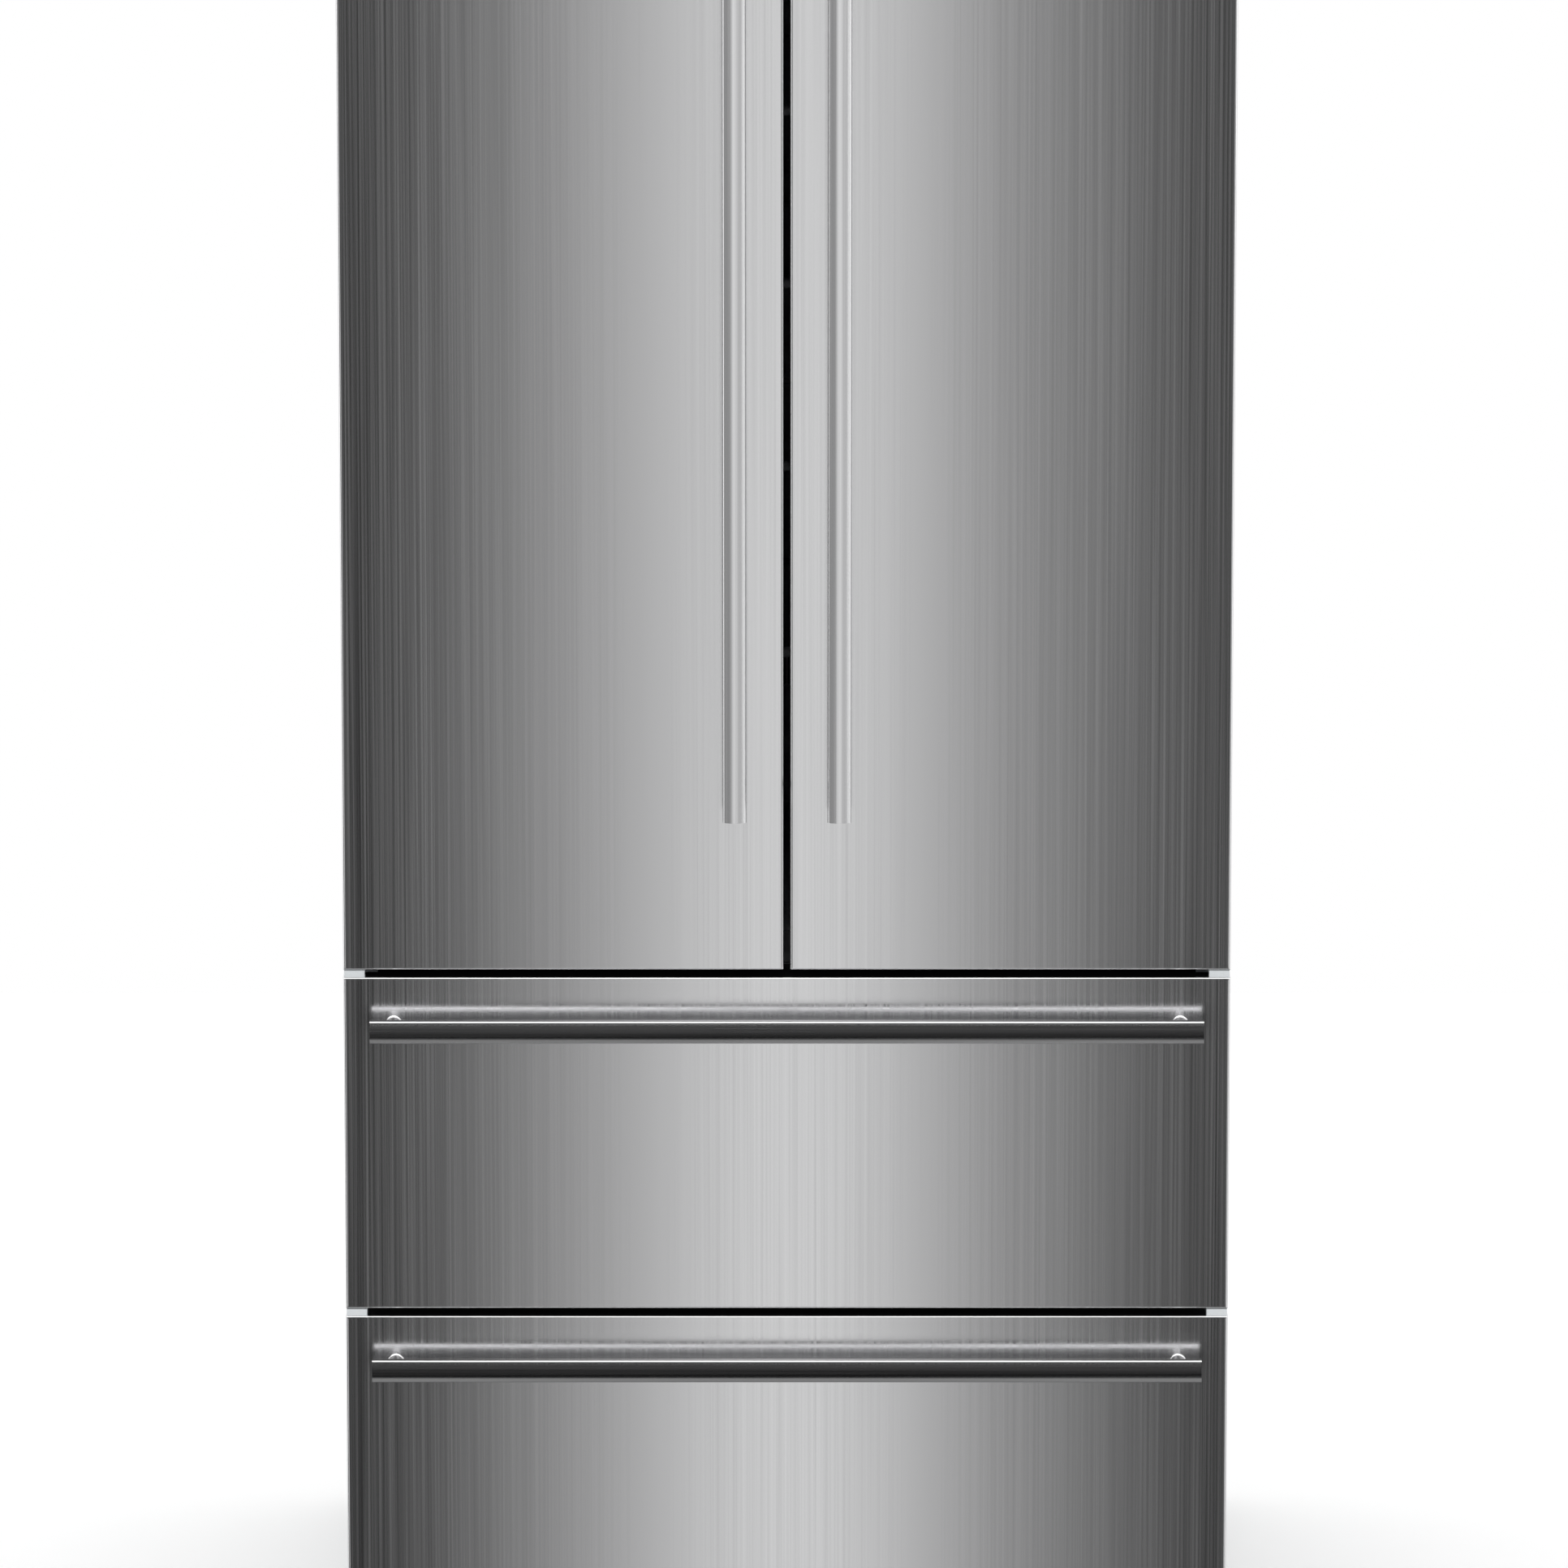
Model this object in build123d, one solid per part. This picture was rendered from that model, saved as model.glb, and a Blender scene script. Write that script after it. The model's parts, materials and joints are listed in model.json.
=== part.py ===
from build123d import *
import os

# French door refrigerator with two freezer drawers below a double-door fresh food
# compartment. Millimetres, +X to the viewer's right, +Y to the back, +Z up.
# The origin is at floor level, in the middle of the overall width and depth.
# "Left" and "right" are the viewer's, standing in front of the closed doors.

# ---- overall front, case and stack of depths
FRONT_WIDTH = 835.0
CASE_INSET = 1.0            # the case side stands in from the fronts' outer edge
HANDLE_REACH = 39.0         # front face of a door to the front of its handle
FRONT_THICK = 62.0
SEAL_GAP = 10.0             # back of a door to the front of the case
CASE_DEPTH = 612.0
SPACER_DEPTH = 12.0         # moulded bumps that hold the case off the wall

# ---- heights
CASE_BOTTOM_Z = 38.0
LOWER_DRAWER_Z = 48.0       # bottom edge of the lower drawer front
DRAWER_HEIGHT = 322.5
DOOR_HEIGHT = 1067.0
FRONT_GAP = 7.0             # between one front and the next above it
CENTRE_GAP = 6.0            # between the two doors
TOP_GAP = 3.0               # top of the doors to the top of the case
HINGE_PLATE = 4.0
HINGE_COVER_HEIGHT = 23.0

# ---- walls and sheets
SHEET = 1.0
LINER = 2.0
SIDE_WALL = 42.0            # outside of the case to inside of a compartment
TOP_WALL = 55.0
FRIDGE_BACK_WALL = 57.0
FREEZER_BACK_WALL = 67.0
UPPER_RAIL = 50.0           # height of the cross rail under the doors
LOWER_RAIL = 46.0           # height of the cross rail between the drawers
BOTTOM_RAIL = 50.0
RAIL_DEPTH = 18.0
RAIL_SHEET = 1.5
BAY_DEPTH = 210.0           # compressor bay at the back, under the insulation
BAY_HEIGHT = 212.0

# ---- fronts
EDGE_ROUND = 2.5
CORNER_RETURN = 21.0        # width of the skin's returns at the ends of a front
LIP = 4.0                   # depth of the skin's hem along a front's top and bottom
CAP_THICK = 4.0
PANEL = 2.0
GASKET_WIDTH = 14.0
GASKET_CLEAR = 0.2
GASKET_INSET = 4.0          # edge of a front to its gasket, above and below
GASKET_SIDE = 1.5           # hinge axis to the gasket, so that it swings away from the case
GASKET_MIDDLE = 7.0         # edge of a door at the centre gap to its gasket
GASKET_TOP = 17.0           # top edge of a door to its gasket
GASKET_FOOT = 22.0          # top of the bottom rail down to the lower drawer's gasket
DYKE_WIDTH = 30.0
DYKE_DEPTH = 60.0
DYKE_CLEAR = 4.5

# ---- handles
GRIP_WIDTH = 22.0
GRIP_DEPTH = 17.0
GRIP_CROWN = 3.5            # how far the front of the grip bulges
GRIP_ROUND = 3.0            # long edges in front
GRIP_BACK_ROUND = 9.5       # long edges behind, where the fingers close
POST_RADIUS = 6.5
DOOR_GRIP_LOW = 150.3       # door's bottom edge to the grip's lower end
DOOR_GRIP_TOP = 119.0       # grip's upper end to the door's top edge
DOOR_GRIP_OFFSET = 49.0     # centre line of the fridge to the grip's middle
DRAWER_GRIP_INSET = 25.8    # end of a drawer front to the end of its grip
DRAWER_GRIP_DROP = 44.7     # top edge of a drawer front to the grip's middle
POST_INSET = 21.5           # end of a grip to the middle of its post

# ---- door hinges
HINGE_INSET = 18.0          # outer edge of a door to its axis
PIN_RADIUS = 5.0
PIN_CLEAR = 0.05
BOSS_RADIUS = 11.0
BOSS_DEPTH = 22.0
PIN_LENGTH = 20.0           # how far a pin reaches into its door
PIN_HOLE_CLEAR = 2.0        # hole in the skin around a pin
PLATE_REACH = 15.0          # hinge axis to the front end of a bracket
PLATE_SIDES = (12.0, 48.0)  # hinge axis to the bracket's outer and inner end
ARM_INNER = 14.0            # hinge axis to the inner side of a bracket's arm
PLATE_DEPTH = 60.0          # top bracket on the case
FLANGE_HEIGHT = 11.0        # middle bracket's flange on the cross rail
COVER_MARGIN = (3.0, 5.0, 15.0, 12.0)  # hinge cover past its bracket: out, front, back, in
COVER_ROUND = 6.0

# ---- folding mullion on the left door
MULLION_LENGTH_X = 70.0
MULLION_THICK = 16.0
MULLION_PIVOT_X = 32.0      # distance left of the centre line
MULLION_FACE_CLEAR = 0.3
MULLION_END_CLEAR = 8.0
MULLION_LUG = 4.0
MULLION_LUG_CLEAR = 0.5
MULLION_PIN_RADIUS = 2.5
FOLLOWER_RADIUS = 3.0
FOLLOWER_REACH = 45.0       # mullion pivot to its guide pin
MULLION_DYKE_GAP = 2.0
MULLION_PIN_LENGTH = 12.0
GUIDE_X = (-14.0, 26.0)     # guide block about the centre line
GUIDE_Y = (-5.0, 32.0)      # guide block about the mullion's axis
GUIDE_DROP = 13.0
GUIDE_TRACK = 10.0          # depth of the curved track in the guide block
FOLLOWER_ROOF_GAP = 6.0

# ---- shelves, pans and bins
SHELF_RISES = (249.5, 429.5, 605.5, 770.5)  # compartment floor to the top of each shelf's trim
SHELF_BIN_GAP = 12.5        # back of the door bins to the shelves
SHELF_BACK_GAP = 18.0
GLASS = 4.0
TRIM_HEIGHT = 8.0
TRIM_DEPTH = 12.0
RIB_HEIGHT = 10.0
RIB_WIDTH = 8.0
SIDE_PLAY = 3.0
PLASTIC = 2.5               # wall of pans, bins and baskets
BIN_COUNT = 4
BIN_HEIGHT = 110.0
BIN_REACH = 102.0
BIN_LIFT = 3.0              # rim's lower bar to the lowest bin
BIN_HEADROOM = 79.5         # top bin to the rim's upper bar
BIN_ROUND = 1.2
PAN_HEADROOM = 6.0
PAN_BACK_GAP = 50.0
PAN_LIP = (60.0, 7.0, 4.0, 18.0)   # pull lip: end inset, reach, drop below the rim, height

# ---- drawers
SLIDE_THICK = 12.5
SLIDE_SHEET = 1.5
SLIDE_HEIGHTS = (45.0, 38.0, 30.0)     # fixed, middle and drawer members
SLIDE_FRONT = 6.0           # front of the case to the fixed member
SLIDE_END_CLEAR = 9.0       # slide to the back of the compartment
SLIDE_RISE = 75.0           # compartment floor to the slide's middle
SLIDE_STEPS = (0.0, 3.5, 7.0)          # liner to the outer side of each member
BRACKET_PLATE = (42.5, 3.0, 80.0)      # runner's front plate: width, thickness, height
BASKET_LIFT = 10.0
BASKET_HEADROOM = 47.0
UPPER_BASKET_GAP = 22.5     # basket to the back of its compartment
LOWER_BASKET_GAP = 10.0

# ---- feet, rollers, fans
FOOT_INSET = 76.5           # side of the case to the foot's and roller's middle
FOOT_BEHIND = 44.5          # front of the case to the foot
PAD_RADIUS = 18.0
PAD_HEIGHT = 8.0
SCREW_RADIUS = 5.0
SCREW_LENGTH = 48.0
SCREW_CLEAR = 0.05
FOOT_BRACKET = (44.0, 16.0) # width and height of the block that holds a foot
SCREW_WELL = 24.0           # clear depth above the floor pan for a screw
SCREW_WELL_CLEAR = 1.0
ROLLER_RADIUS = 17.5
ROLLER_WIDTH = 20.0
ROLLER_BEHIND = 55.5        # roller to the back of the case
AXLE_RADIUS = 4.0
AXLE_CLEAR = 0.05
EAR = 3.0
EAR_WIDTH = 28.0
EAR_GAP = 1.0
FAN_RADIUS = 50.0
FAN_HOLE = 56.0
FAN_BLADES = 5
FAN_HUB = (15.0, 18.0)      # radius and length
BLADE = (20.0, 1.8, 35.0)   # chord, thickness and pitch in degrees
BLADE_ROOT = 13.0
SHAFT_RADIUS = 1.5
SHAFT_LENGTH = 16.0
SHAFT_CLEAR = 0.05
SHAFT_BORE = 20.0
MOTOR = (18.0, 24.0)        # radius and length
MOTOR_GAP = 2.0
CROSSBAR = (14.0, 18.0, 3.0)           # reach past the fan hole, width, thickness
CROSSBAR_LEG = 6.0

# ---- air duct slots on the back wall of the fresh food compartment
SLOT_RISE = 736.5           # compartment floor to the top slot
SLOT_COUNT = 4
SLOT_PITCH = 90.0
SLOT_SIZE = (150.0, 11.0)
DUCT_WIDTH = 180.0
DUCT_DEPTH = 14.0
DUCT_FOOT = 260.0
DUCT_HEAD = 30.0

# ---- evaporator and its cover, in the upper freezer compartment
COVER_AHEAD = 74.0          # back of the compartment to the cover
FAN_AHEAD = 70.0
FAN_DROP = 68.0
EVAPORATOR = (480.0, 44.0, 120.0, 21)  # length, depth, height, number of fins
EVAPORATOR_AHEAD = 30.0
EVAPORATOR_RISE = 72.0
RETURN_SLOTS = (13, 50.0, 36.0, 10.0, 24.0)  # count, pitch, width, height, rise
COIL_ROWS = 5
COIL_TUBE = 4.0
COIL_END = 8.0

# ---- compressor bay
CONDENSER = (140.0, 150.0, 130.0, 14)
CONDENSER_X = 230.0
BAY_FAN_X = 60.0
BAY_FAN_RISE = 80.0
SHROUD = (6.0, 2.0, 180.0, 170.0)      # ahead of the fan, thickness, width, height
COMPRESSOR_INSET = 195.5    # side of the bay to the compressor's middle
COMPRESSOR = (78.0, 150.0, 48.0)       # radius, height, rounding of the dome
COMPRESSOR_PLATE = (210.0, 150.0, 3.0)
GROMMET = (11.0, 12.0)      # radius and height
GROMMET_INSET = 15.0
STUB = (5.0, 100.0, 60.0)   # suction pipe: radius, reach from the middle, rise
COVER_INSET = 8.0
BAY_COVER_Z = (6.0, 4.0)    # gaps below and above the bay cover
VENTS = (3, 9, 60.0, 24.0, 44.0, 9.0, 40.0)  # rows, columns, pitches, slot size, rise
BUMP = (60.0, 40.0, 120.0)  # wall spacer: inset, width, height
GRILLE_LIFT = 6.0
GRILLE_SLOTS = (2, 15, 50.0, 11.0, 38.0, 5.0, 10.0)
GRILLE_BEHIND = 2.0
INLET = (56.0, 36.0, 9.0)   # width, height, depth
INLET_PLACE = (278.0, 48.0) # middle: across, and up from the bay's roof
INLET_WALL = (8.0, 7.0, 2.0)
INLET_PIN = (2.0, 6.0, 1.5)
INLET_PINS = ((-9.0, -2.0), (0.0, 4.0), (9.0, -2.0))

# ---- under the compartment's ceiling
CONTROL_PANEL = (180.0, 70.0, 16.0, 9.0)     # width, depth, height, bevel
CONTROL_BEHIND = 114.5
LAMP = (300.0, 90.0, 12.0, 5.0)        # width, depth, height, rounding
LAMP_BEHIND = 214.5

# ---- anti-tip screw holes high on the back
TIP_HOLE_RADIUS = 2.6
TIP_HOLE_SPACING = 400.0
TIP_HOLE_DEPTH = 30.0
TIP_HOLE_DROP = 30.0

# ---- places worked out from the sizes above
DEPTH = HANDLE_REACH + FRONT_THICK + SEAL_GAP + CASE_DEPTH + SPACER_DEPTH
FACE_Y = -DEPTH / 2 + HANDLE_REACH
BACK_Y = FACE_Y + FRONT_THICK
CASE_Y = BACK_Y + SEAL_GAP
CASE_BACK_Y = CASE_Y + CASE_DEPTH
LINER_Y = CASE_Y + SHEET

HALF_FRONT = FRONT_WIDTH / 2
HALF_CASE = HALF_FRONT - CASE_INSET
HALF_ROOM = HALF_CASE - SIDE_WALL
HALF_LINER = HALF_ROOM + LINER

LOWER_Z = (LOWER_DRAWER_Z, LOWER_DRAWER_Z + DRAWER_HEIGHT)
UPPER_Z = (LOWER_Z[1] + FRONT_GAP, LOWER_Z[1] + FRONT_GAP + DRAWER_HEIGHT)
DOOR_Z = (UPPER_Z[1] + FRONT_GAP, UPPER_Z[1] + FRONT_GAP + DOOR_HEIGHT)
CASE_TOP_Z = DOOR_Z[1] + TOP_GAP

DOOR_X = (-HALF_FRONT, -CENTRE_GAP / 2)
DRAWER_X = (-HALF_FRONT, HALF_FRONT)

UPPER_RAIL_MID = UPPER_Z[1] + FRONT_GAP / 2
LOWER_RAIL_MID = LOWER_Z[1] + FRONT_GAP / 2
UPPER_RAIL_Z = (UPPER_RAIL_MID - UPPER_RAIL / 2, UPPER_RAIL_MID + UPPER_RAIL / 2)
LOWER_RAIL_Z = (LOWER_RAIL_MID - LOWER_RAIL / 2, LOWER_RAIL_MID + LOWER_RAIL / 2)
BASE_TOP_Z = CASE_BOTTOM_Z + SHEET
FOOT_X = HALF_CASE - FOOT_INSET
FOOT_Y = CASE_Y + FOOT_BEHIND
ROLLER_Y = CASE_BACK_Y - ROLLER_BEHIND
BOTTOM_RAIL_Z = (BASE_TOP_Z, CASE_BOTTOM_Z + BOTTOM_RAIL)

BAY_Y = CASE_BACK_Y - BAY_DEPTH
BAY_TOP_Z = CASE_BOTTOM_Z + BAY_HEIGHT

FRIDGE_ROOM_Z = (UPPER_RAIL_Z[1], CASE_TOP_Z - TOP_WALL)
UPPER_ROOM_Z = (LOWER_RAIL_Z[1], UPPER_RAIL_Z[0])
LOWER_ROOM_Z = (BOTTOM_RAIL_Z[1], LOWER_RAIL_Z[0])
FRIDGE_ROOM_BACK = CASE_BACK_Y - FRIDGE_BACK_WALL
UPPER_ROOM_BACK = CASE_BACK_Y - FREEZER_BACK_WALL
LOWER_ROOM_BACK = BAY_Y - FREEZER_BACK_WALL + LINER
UPPER_COVER_Y = (UPPER_ROOM_BACK - COVER_AHEAD - PLASTIC, UPPER_ROOM_BACK - COVER_AHEAD)
SHELF_TOPS = [FRIDGE_ROOM_Z[0] + rise for rise in SHELF_RISES]
SHELF_Y = (BACK_Y + BIN_REACH + SHELF_BIN_GAP, FRIDGE_ROOM_BACK - SHELF_BACK_GAP)
BAY_MIDDLE_Y = (BAY_Y + CASE_BACK_Y) / 2
BAY_FAN_Z = BASE_TOP_Z + BAY_FAN_RISE
FREEZER_FAN_Z = UPPER_ROOM_Z[1] - FAN_DROP

HINGE_X = HALF_FRONT - HINGE_INSET
HINGE_Y = (FACE_Y + BACK_Y) / 2

DYKE_X = (-HALF_ROOM + DYKE_CLEAR, -MULLION_PIVOT_X - MULLION_THICK / 2 - MULLION_DYKE_GAP)
DYKE_Z = (FRIDGE_ROOM_Z[0] + DYKE_CLEAR, FRIDGE_ROOM_Z[1] - DYKE_CLEAR)
DYKE_Y = (BACK_Y, BACK_Y + DYKE_DEPTH)

MULLION_Y = CASE_Y + MULLION_FACE_CLEAR + MULLION_THICK / 2
MULLION_Z = (DYKE_Z[0] + MULLION_END_CLEAR, DYKE_Z[1] - 2 * MULLION_END_CLEAR)


def block(x, y, z):
    """A box from its (low, high) pair along each axis."""
    spans = (x, y, z)
    size = [high - low for low, high in spans]
    middle = [(high + low) / 2 for low, high in spans]
    return Pos(*middle) * Box(*size)


def rod(start, direction, radius, length):
    """A round bar that starts at a point and runs along a unit direction."""
    return extrude(Plane(origin=start, z_dir=direction) * Circle(radius), amount=length)


def shrink(span, by):
    """A (low, high) pair with both ends moved in."""
    return (span[0] + by, span[1] - by)


def centred(middle, size):
    """A (low, high) pair about its middle."""
    return (middle - size / 2, middle + size / 2)


def other_side(shapes):
    """The same pieces on the other side of the centre plane."""
    return [mirror(shape, about=Plane.YZ) for shape in shapes]


def pair(shapes):
    """Pieces with their mirror images."""
    return shapes + other_side(shapes)


def open_tray(x, y, z, wall, mouth):
    """A five-sided box: mouth is "top" or "front", the side left open."""
    inner_y = (y[0] - wall, y[1] - wall) if mouth == "front" else shrink(y, wall)
    inner_z = (z[0] + wall, z[1] + wall) if mouth == "top" else shrink(z, wall)
    return block(x, y, z) - block(shrink(x, wall), inner_y, inner_z)


def write(name, shapes):
    """One STEP file per sub-part, holding its separate solids."""
    solids = [solid for shape in shapes for solid in shape.solids()]
    export_step(solids[0] if len(solids) == 1 else Compound(solids), f"parts/{name}.step")


# ------------------------------------------------------------------ cabinet shell
def outer_case():
    """Painted sheet wrapped over both sides and the top, with flanges at the front."""
    half = HALF_CASE
    shell = block((-half, half), (CASE_Y, CASE_BACK_Y), (CASE_BOTTOM_Z, CASE_TOP_Z))
    shell -= block(shrink((-half, half), SHEET), (CASE_Y - SHEET, CASE_BACK_Y + SHEET),
                   (CASE_BOTTOM_Z - SHEET, CASE_TOP_Z - SHEET))
    front = (CASE_Y, LINER_Y)
    side = block((-half, -HALF_ROOM), front, (CASE_BOTTOM_Z, CASE_TOP_Z))
    top = block((-half, half), front, (FRIDGE_ROOM_Z[1], CASE_TOP_Z))
    return [shell + side + other_side([side])[0] + top]


def tip_holes(depth):
    """Cutters for the two anti-tip screws, going in from the back."""
    z = CASE_TOP_Z - TIP_HOLE_DROP
    return [rod((x, CASE_BACK_Y, z), (0, -1, 0), TIP_HOLE_RADIUS, depth)
            for x in (-TIP_HOLE_SPACING / 2, TIP_HOLE_SPACING / 2)]


def back_panel():
    """Sheet closing the back, stepped forward over the compressor bay."""
    x = shrink((-HALF_CASE, HALF_CASE), SHEET)
    back = (CASE_BACK_Y - SHEET, CASE_BACK_Y)
    upright = block(x, back, (BAY_TOP_Z, CASE_TOP_Z - SHEET))
    ceiling = block(x, (BAY_Y, CASE_BACK_Y), (BAY_TOP_Z, BAY_TOP_Z + SHEET))
    step = block(x, (BAY_Y, BAY_Y + SHEET), (BASE_TOP_Z, BAY_TOP_Z + SHEET))
    panel = upright + ceiling + step
    for hole in tip_holes(SHEET):
        panel -= hole
    return [panel]


def insulation_foam():
    """Foam filling every wall, floor and divider, as slabs that meet face to face."""
    y = (LINER_Y, CASE_BACK_Y - SHEET)
    side_x = (-HALF_CASE + SHEET, -HALF_LINER)
    room_x = (-HALF_LINER, HALF_LINER)
    bay_roof = BAY_TOP_Z + SHEET
    rail_back = LINER_Y + RAIL_DEPTH
    upper_back = UPPER_ROOM_BACK + LINER
    lower_back = LOWER_ROOM_BACK + LINER
    fridge_floor = FRIDGE_ROOM_Z[0] - LINER
    fridge_roof = FRIDGE_ROOM_Z[1] + LINER
    upper_liner_z = (UPPER_ROOM_Z[0] - LINER, UPPER_ROOM_Z[1] + LINER)
    lower_liner_z = (LOWER_ROOM_Z[0] - LINER, LOWER_ROOM_Z[1] + LINER)
    sides = pair([block(side_x, y, (bay_roof, CASE_TOP_Z - SHEET)),
                  block(side_x, (LINER_Y, BAY_Y), (BASE_TOP_Z, bay_roof))])
    roof = block(room_x, y, (fridge_roof, CASE_TOP_Z - SHEET))
    for hole in tip_holes(TIP_HOLE_DEPTH):
        roof -= hole
    fridge_back = block(room_x, (FRIDGE_ROOM_BACK + LINER, y[1]), (fridge_floor, fridge_roof))
    upper_divider = block(room_x, (rail_back, y[1]), (upper_liner_z[1], fridge_floor))
    lower_divider = block(room_x, (rail_back, y[1]), (lower_liner_z[1], upper_liner_z[0]))
    upper_rear = block(room_x, (upper_back, y[1]), upper_liner_z)
    over_bay = block(room_x, (lower_back, y[1]), (bay_roof, lower_liner_z[1]))
    lower_rear = block(room_x, (lower_back, BAY_Y), (BASE_TOP_Z, bay_roof))
    floor = block(room_x, (rail_back, lower_back), (BASE_TOP_Z, lower_liner_z[0]))
    for x in (-FOOT_X, FOOT_X):
        floor -= rod((x, FOOT_Y, BASE_TOP_Z), (0, 0, 1), SCREW_RADIUS + SCREW_WELL_CLEAR, SCREW_WELL)
    return sides + [roof, fridge_back, upper_divider, lower_divider, upper_rear, over_bay,
                    lower_rear, floor]


def liner(room_z, room_back):
    """Thin moulded tray that lines one compartment."""
    return open_tray((-HALF_LINER, HALF_LINER), (LINER_Y, room_back + LINER),
                     (room_z[0] - LINER, room_z[1] + LINER), LINER, "front")


def fridge_liner():
    """Liner of the fresh food compartment, with a pair of ribs under each shelf."""
    shell = liner(FRIDGE_ROOM_Z, FRIDGE_ROOM_BACK)
    for top in SHELF_TOPS:
        rib_top = top - TRIM_HEIGHT
        rib = block((-HALF_ROOM, -HALF_ROOM + RIB_WIDTH), SHELF_Y, (rib_top - RIB_HEIGHT, rib_top))
        shell = shell + rib + other_side([rib])[0]
    return [shell]


def freezer_liners():
    return [liner(UPPER_ROOM_Z, UPPER_ROOM_BACK), liner(LOWER_ROOM_Z, LOWER_ROOM_BACK)]


def cross_rail(face_z, tube_z):
    """A face plate in front of a box section that reaches into the walls."""
    tube_y = (LINER_Y, LINER_Y + RAIL_DEPTH)
    tube = block((-HALF_LINER, HALF_LINER), tube_y, tube_z)
    tube -= block((-HALF_CASE, HALF_CASE), shrink(tube_y, RAIL_SHEET), shrink(tube_z, RAIL_SHEET))
    return tube + block((-HALF_ROOM, HALF_ROOM), (CASE_Y, LINER_Y), face_z)


def cross_rails():
    """Steel rails under the doors, between the drawers and along the bottom."""
    return [cross_rail(UPPER_RAIL_Z, shrink(UPPER_RAIL_Z, LINER)),
            cross_rail(LOWER_RAIL_Z, shrink(LOWER_RAIL_Z, LINER)),
            cross_rail(BOTTOM_RAIL_Z, (BOTTOM_RAIL_Z[0], BOTTOM_RAIL_Z[1] - LINER))]


# ------------------------------------------------------------------ base, feet, bay
def roller_fork(x):
    """Two ears and the axle that holds one rear roller."""
    pieces = []
    axle_half = ROLLER_WIDTH / 2 + EAR_GAP + EAR + SHEET
    axle = rod((x - axle_half, ROLLER_Y, ROLLER_RADIUS), (1, 0, 0), AXLE_RADIUS, 2 * axle_half)
    for side in (-1, 1):
        middle = x + side * (ROLLER_WIDTH / 2 + EAR_GAP + EAR / 2)
        ear = block(centred(middle, EAR), centred(ROLLER_Y, EAR_WIDTH), (ROLLER_RADIUS / 2, CASE_BOTTOM_Z))
        pieces.append(ear - axle)
    return pieces + [axle]


def base_plate():
    """Floor pan, foot brackets, roller forks with axles, and the bay's side walls."""
    inside = HALF_CASE - SHEET
    pan = block((-inside, inside), (LINER_Y, CASE_BACK_Y - SHEET), (CASE_BOTTOM_Z, BASE_TOP_Z))
    pieces = []
    for side in (-1, 1):
        hole = rod((side * FOOT_X, FOOT_Y, 0), (0, 0, 1), SCREW_RADIUS + SCREW_CLEAR, BASE_TOP_Z)
        width, height = FOOT_BRACKET
        bracket = block(centred(side * FOOT_X, width), centred(FOOT_Y, width),
                        (CASE_BOTTOM_Z - height, CASE_BOTTOM_Z))
        pan -= hole
        wall_x = sorted((side * inside, side * (inside - RAIL_SHEET)))
        wall = block(wall_x, (BAY_Y + SHEET, CASE_BACK_Y - SHEET), (BASE_TOP_Z, BAY_TOP_Z))
        pieces += [bracket - hole, wall] + roller_fork(side * FOOT_X)
    return [pan] + pieces


def front_foot():
    """Levelling foot at the left: round pad on a screw, wound fully in."""
    pad = rod((-FOOT_X, FOOT_Y, 0), (0, 0, 1), PAD_RADIUS, PAD_HEIGHT)
    pad = chamfer(pad.edges().group_by(Axis.Z)[-1], PAD_HEIGHT / 4)
    return [pad + rod((-FOOT_X, FOOT_Y, PAD_HEIGHT), (0, 0, 1), SCREW_RADIUS, SCREW_LENGTH)]


def rear_roller():
    """Roller at the left rear, running on the axle of its fork."""
    start = (-FOOT_X - ROLLER_WIDTH / 2, ROLLER_Y, ROLLER_RADIUS)
    wheel = rod(start, (1, 0, 0), ROLLER_RADIUS, ROLLER_WIDTH)
    return [wheel - rod(start, (1, 0, 0), AXLE_RADIUS + AXLE_CLEAR, ROLLER_WIDTH)]


def slot_grid(y, z_low, rows, columns, pitch_x, pitch_z, width, height, rise):
    """Cutters for rows of slots about the centre plane, through a sheet facing front or back."""
    return [block(centred((column - (columns - 1) / 2) * pitch_x, width), y,
                  centred(z_low + rise + row * pitch_z, height))
            for row in range(rows) for column in range(columns)]


def cut(body, cutters):
    for cutter in cutters:
        body -= cutter
    return body


def toe_grille():
    """Slotted plinth across the front, below the lower drawer."""
    y = (CASE_Y + GRILLE_BEHIND, CASE_Y + GRILLE_BEHIND + PLASTIC)
    grille = block(shrink((-HALF_CASE, HALF_CASE), COVER_INSET), y, (GRILLE_LIFT, CASE_BOTTOM_Z))
    return [cut(grille, slot_grid(y, GRILLE_LIFT, *GRILLE_SLOTS))]


def bay_cover():
    """Vented cover over the compressor bay, with the two bumps that touch the wall."""
    y = (CASE_BACK_Y, CASE_BACK_Y + PLASTIC)
    z = (BASE_TOP_Z + BAY_COVER_Z[0], BAY_TOP_Z - BAY_COVER_Z[1])
    cover = block(shrink((-HALF_CASE, HALF_CASE), COVER_INSET), y, z)
    cover = cut(cover, slot_grid(y, z[0], *VENTS))
    inset, width, height = BUMP
    bump = block(centred(-HALF_CASE + inset, width), (CASE_BACK_Y, CASE_BACK_Y + SPACER_DEPTH),
                 centred((z[0] + z[1]) / 2, height))
    return [cover + bump + other_side([bump])[0]]


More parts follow.
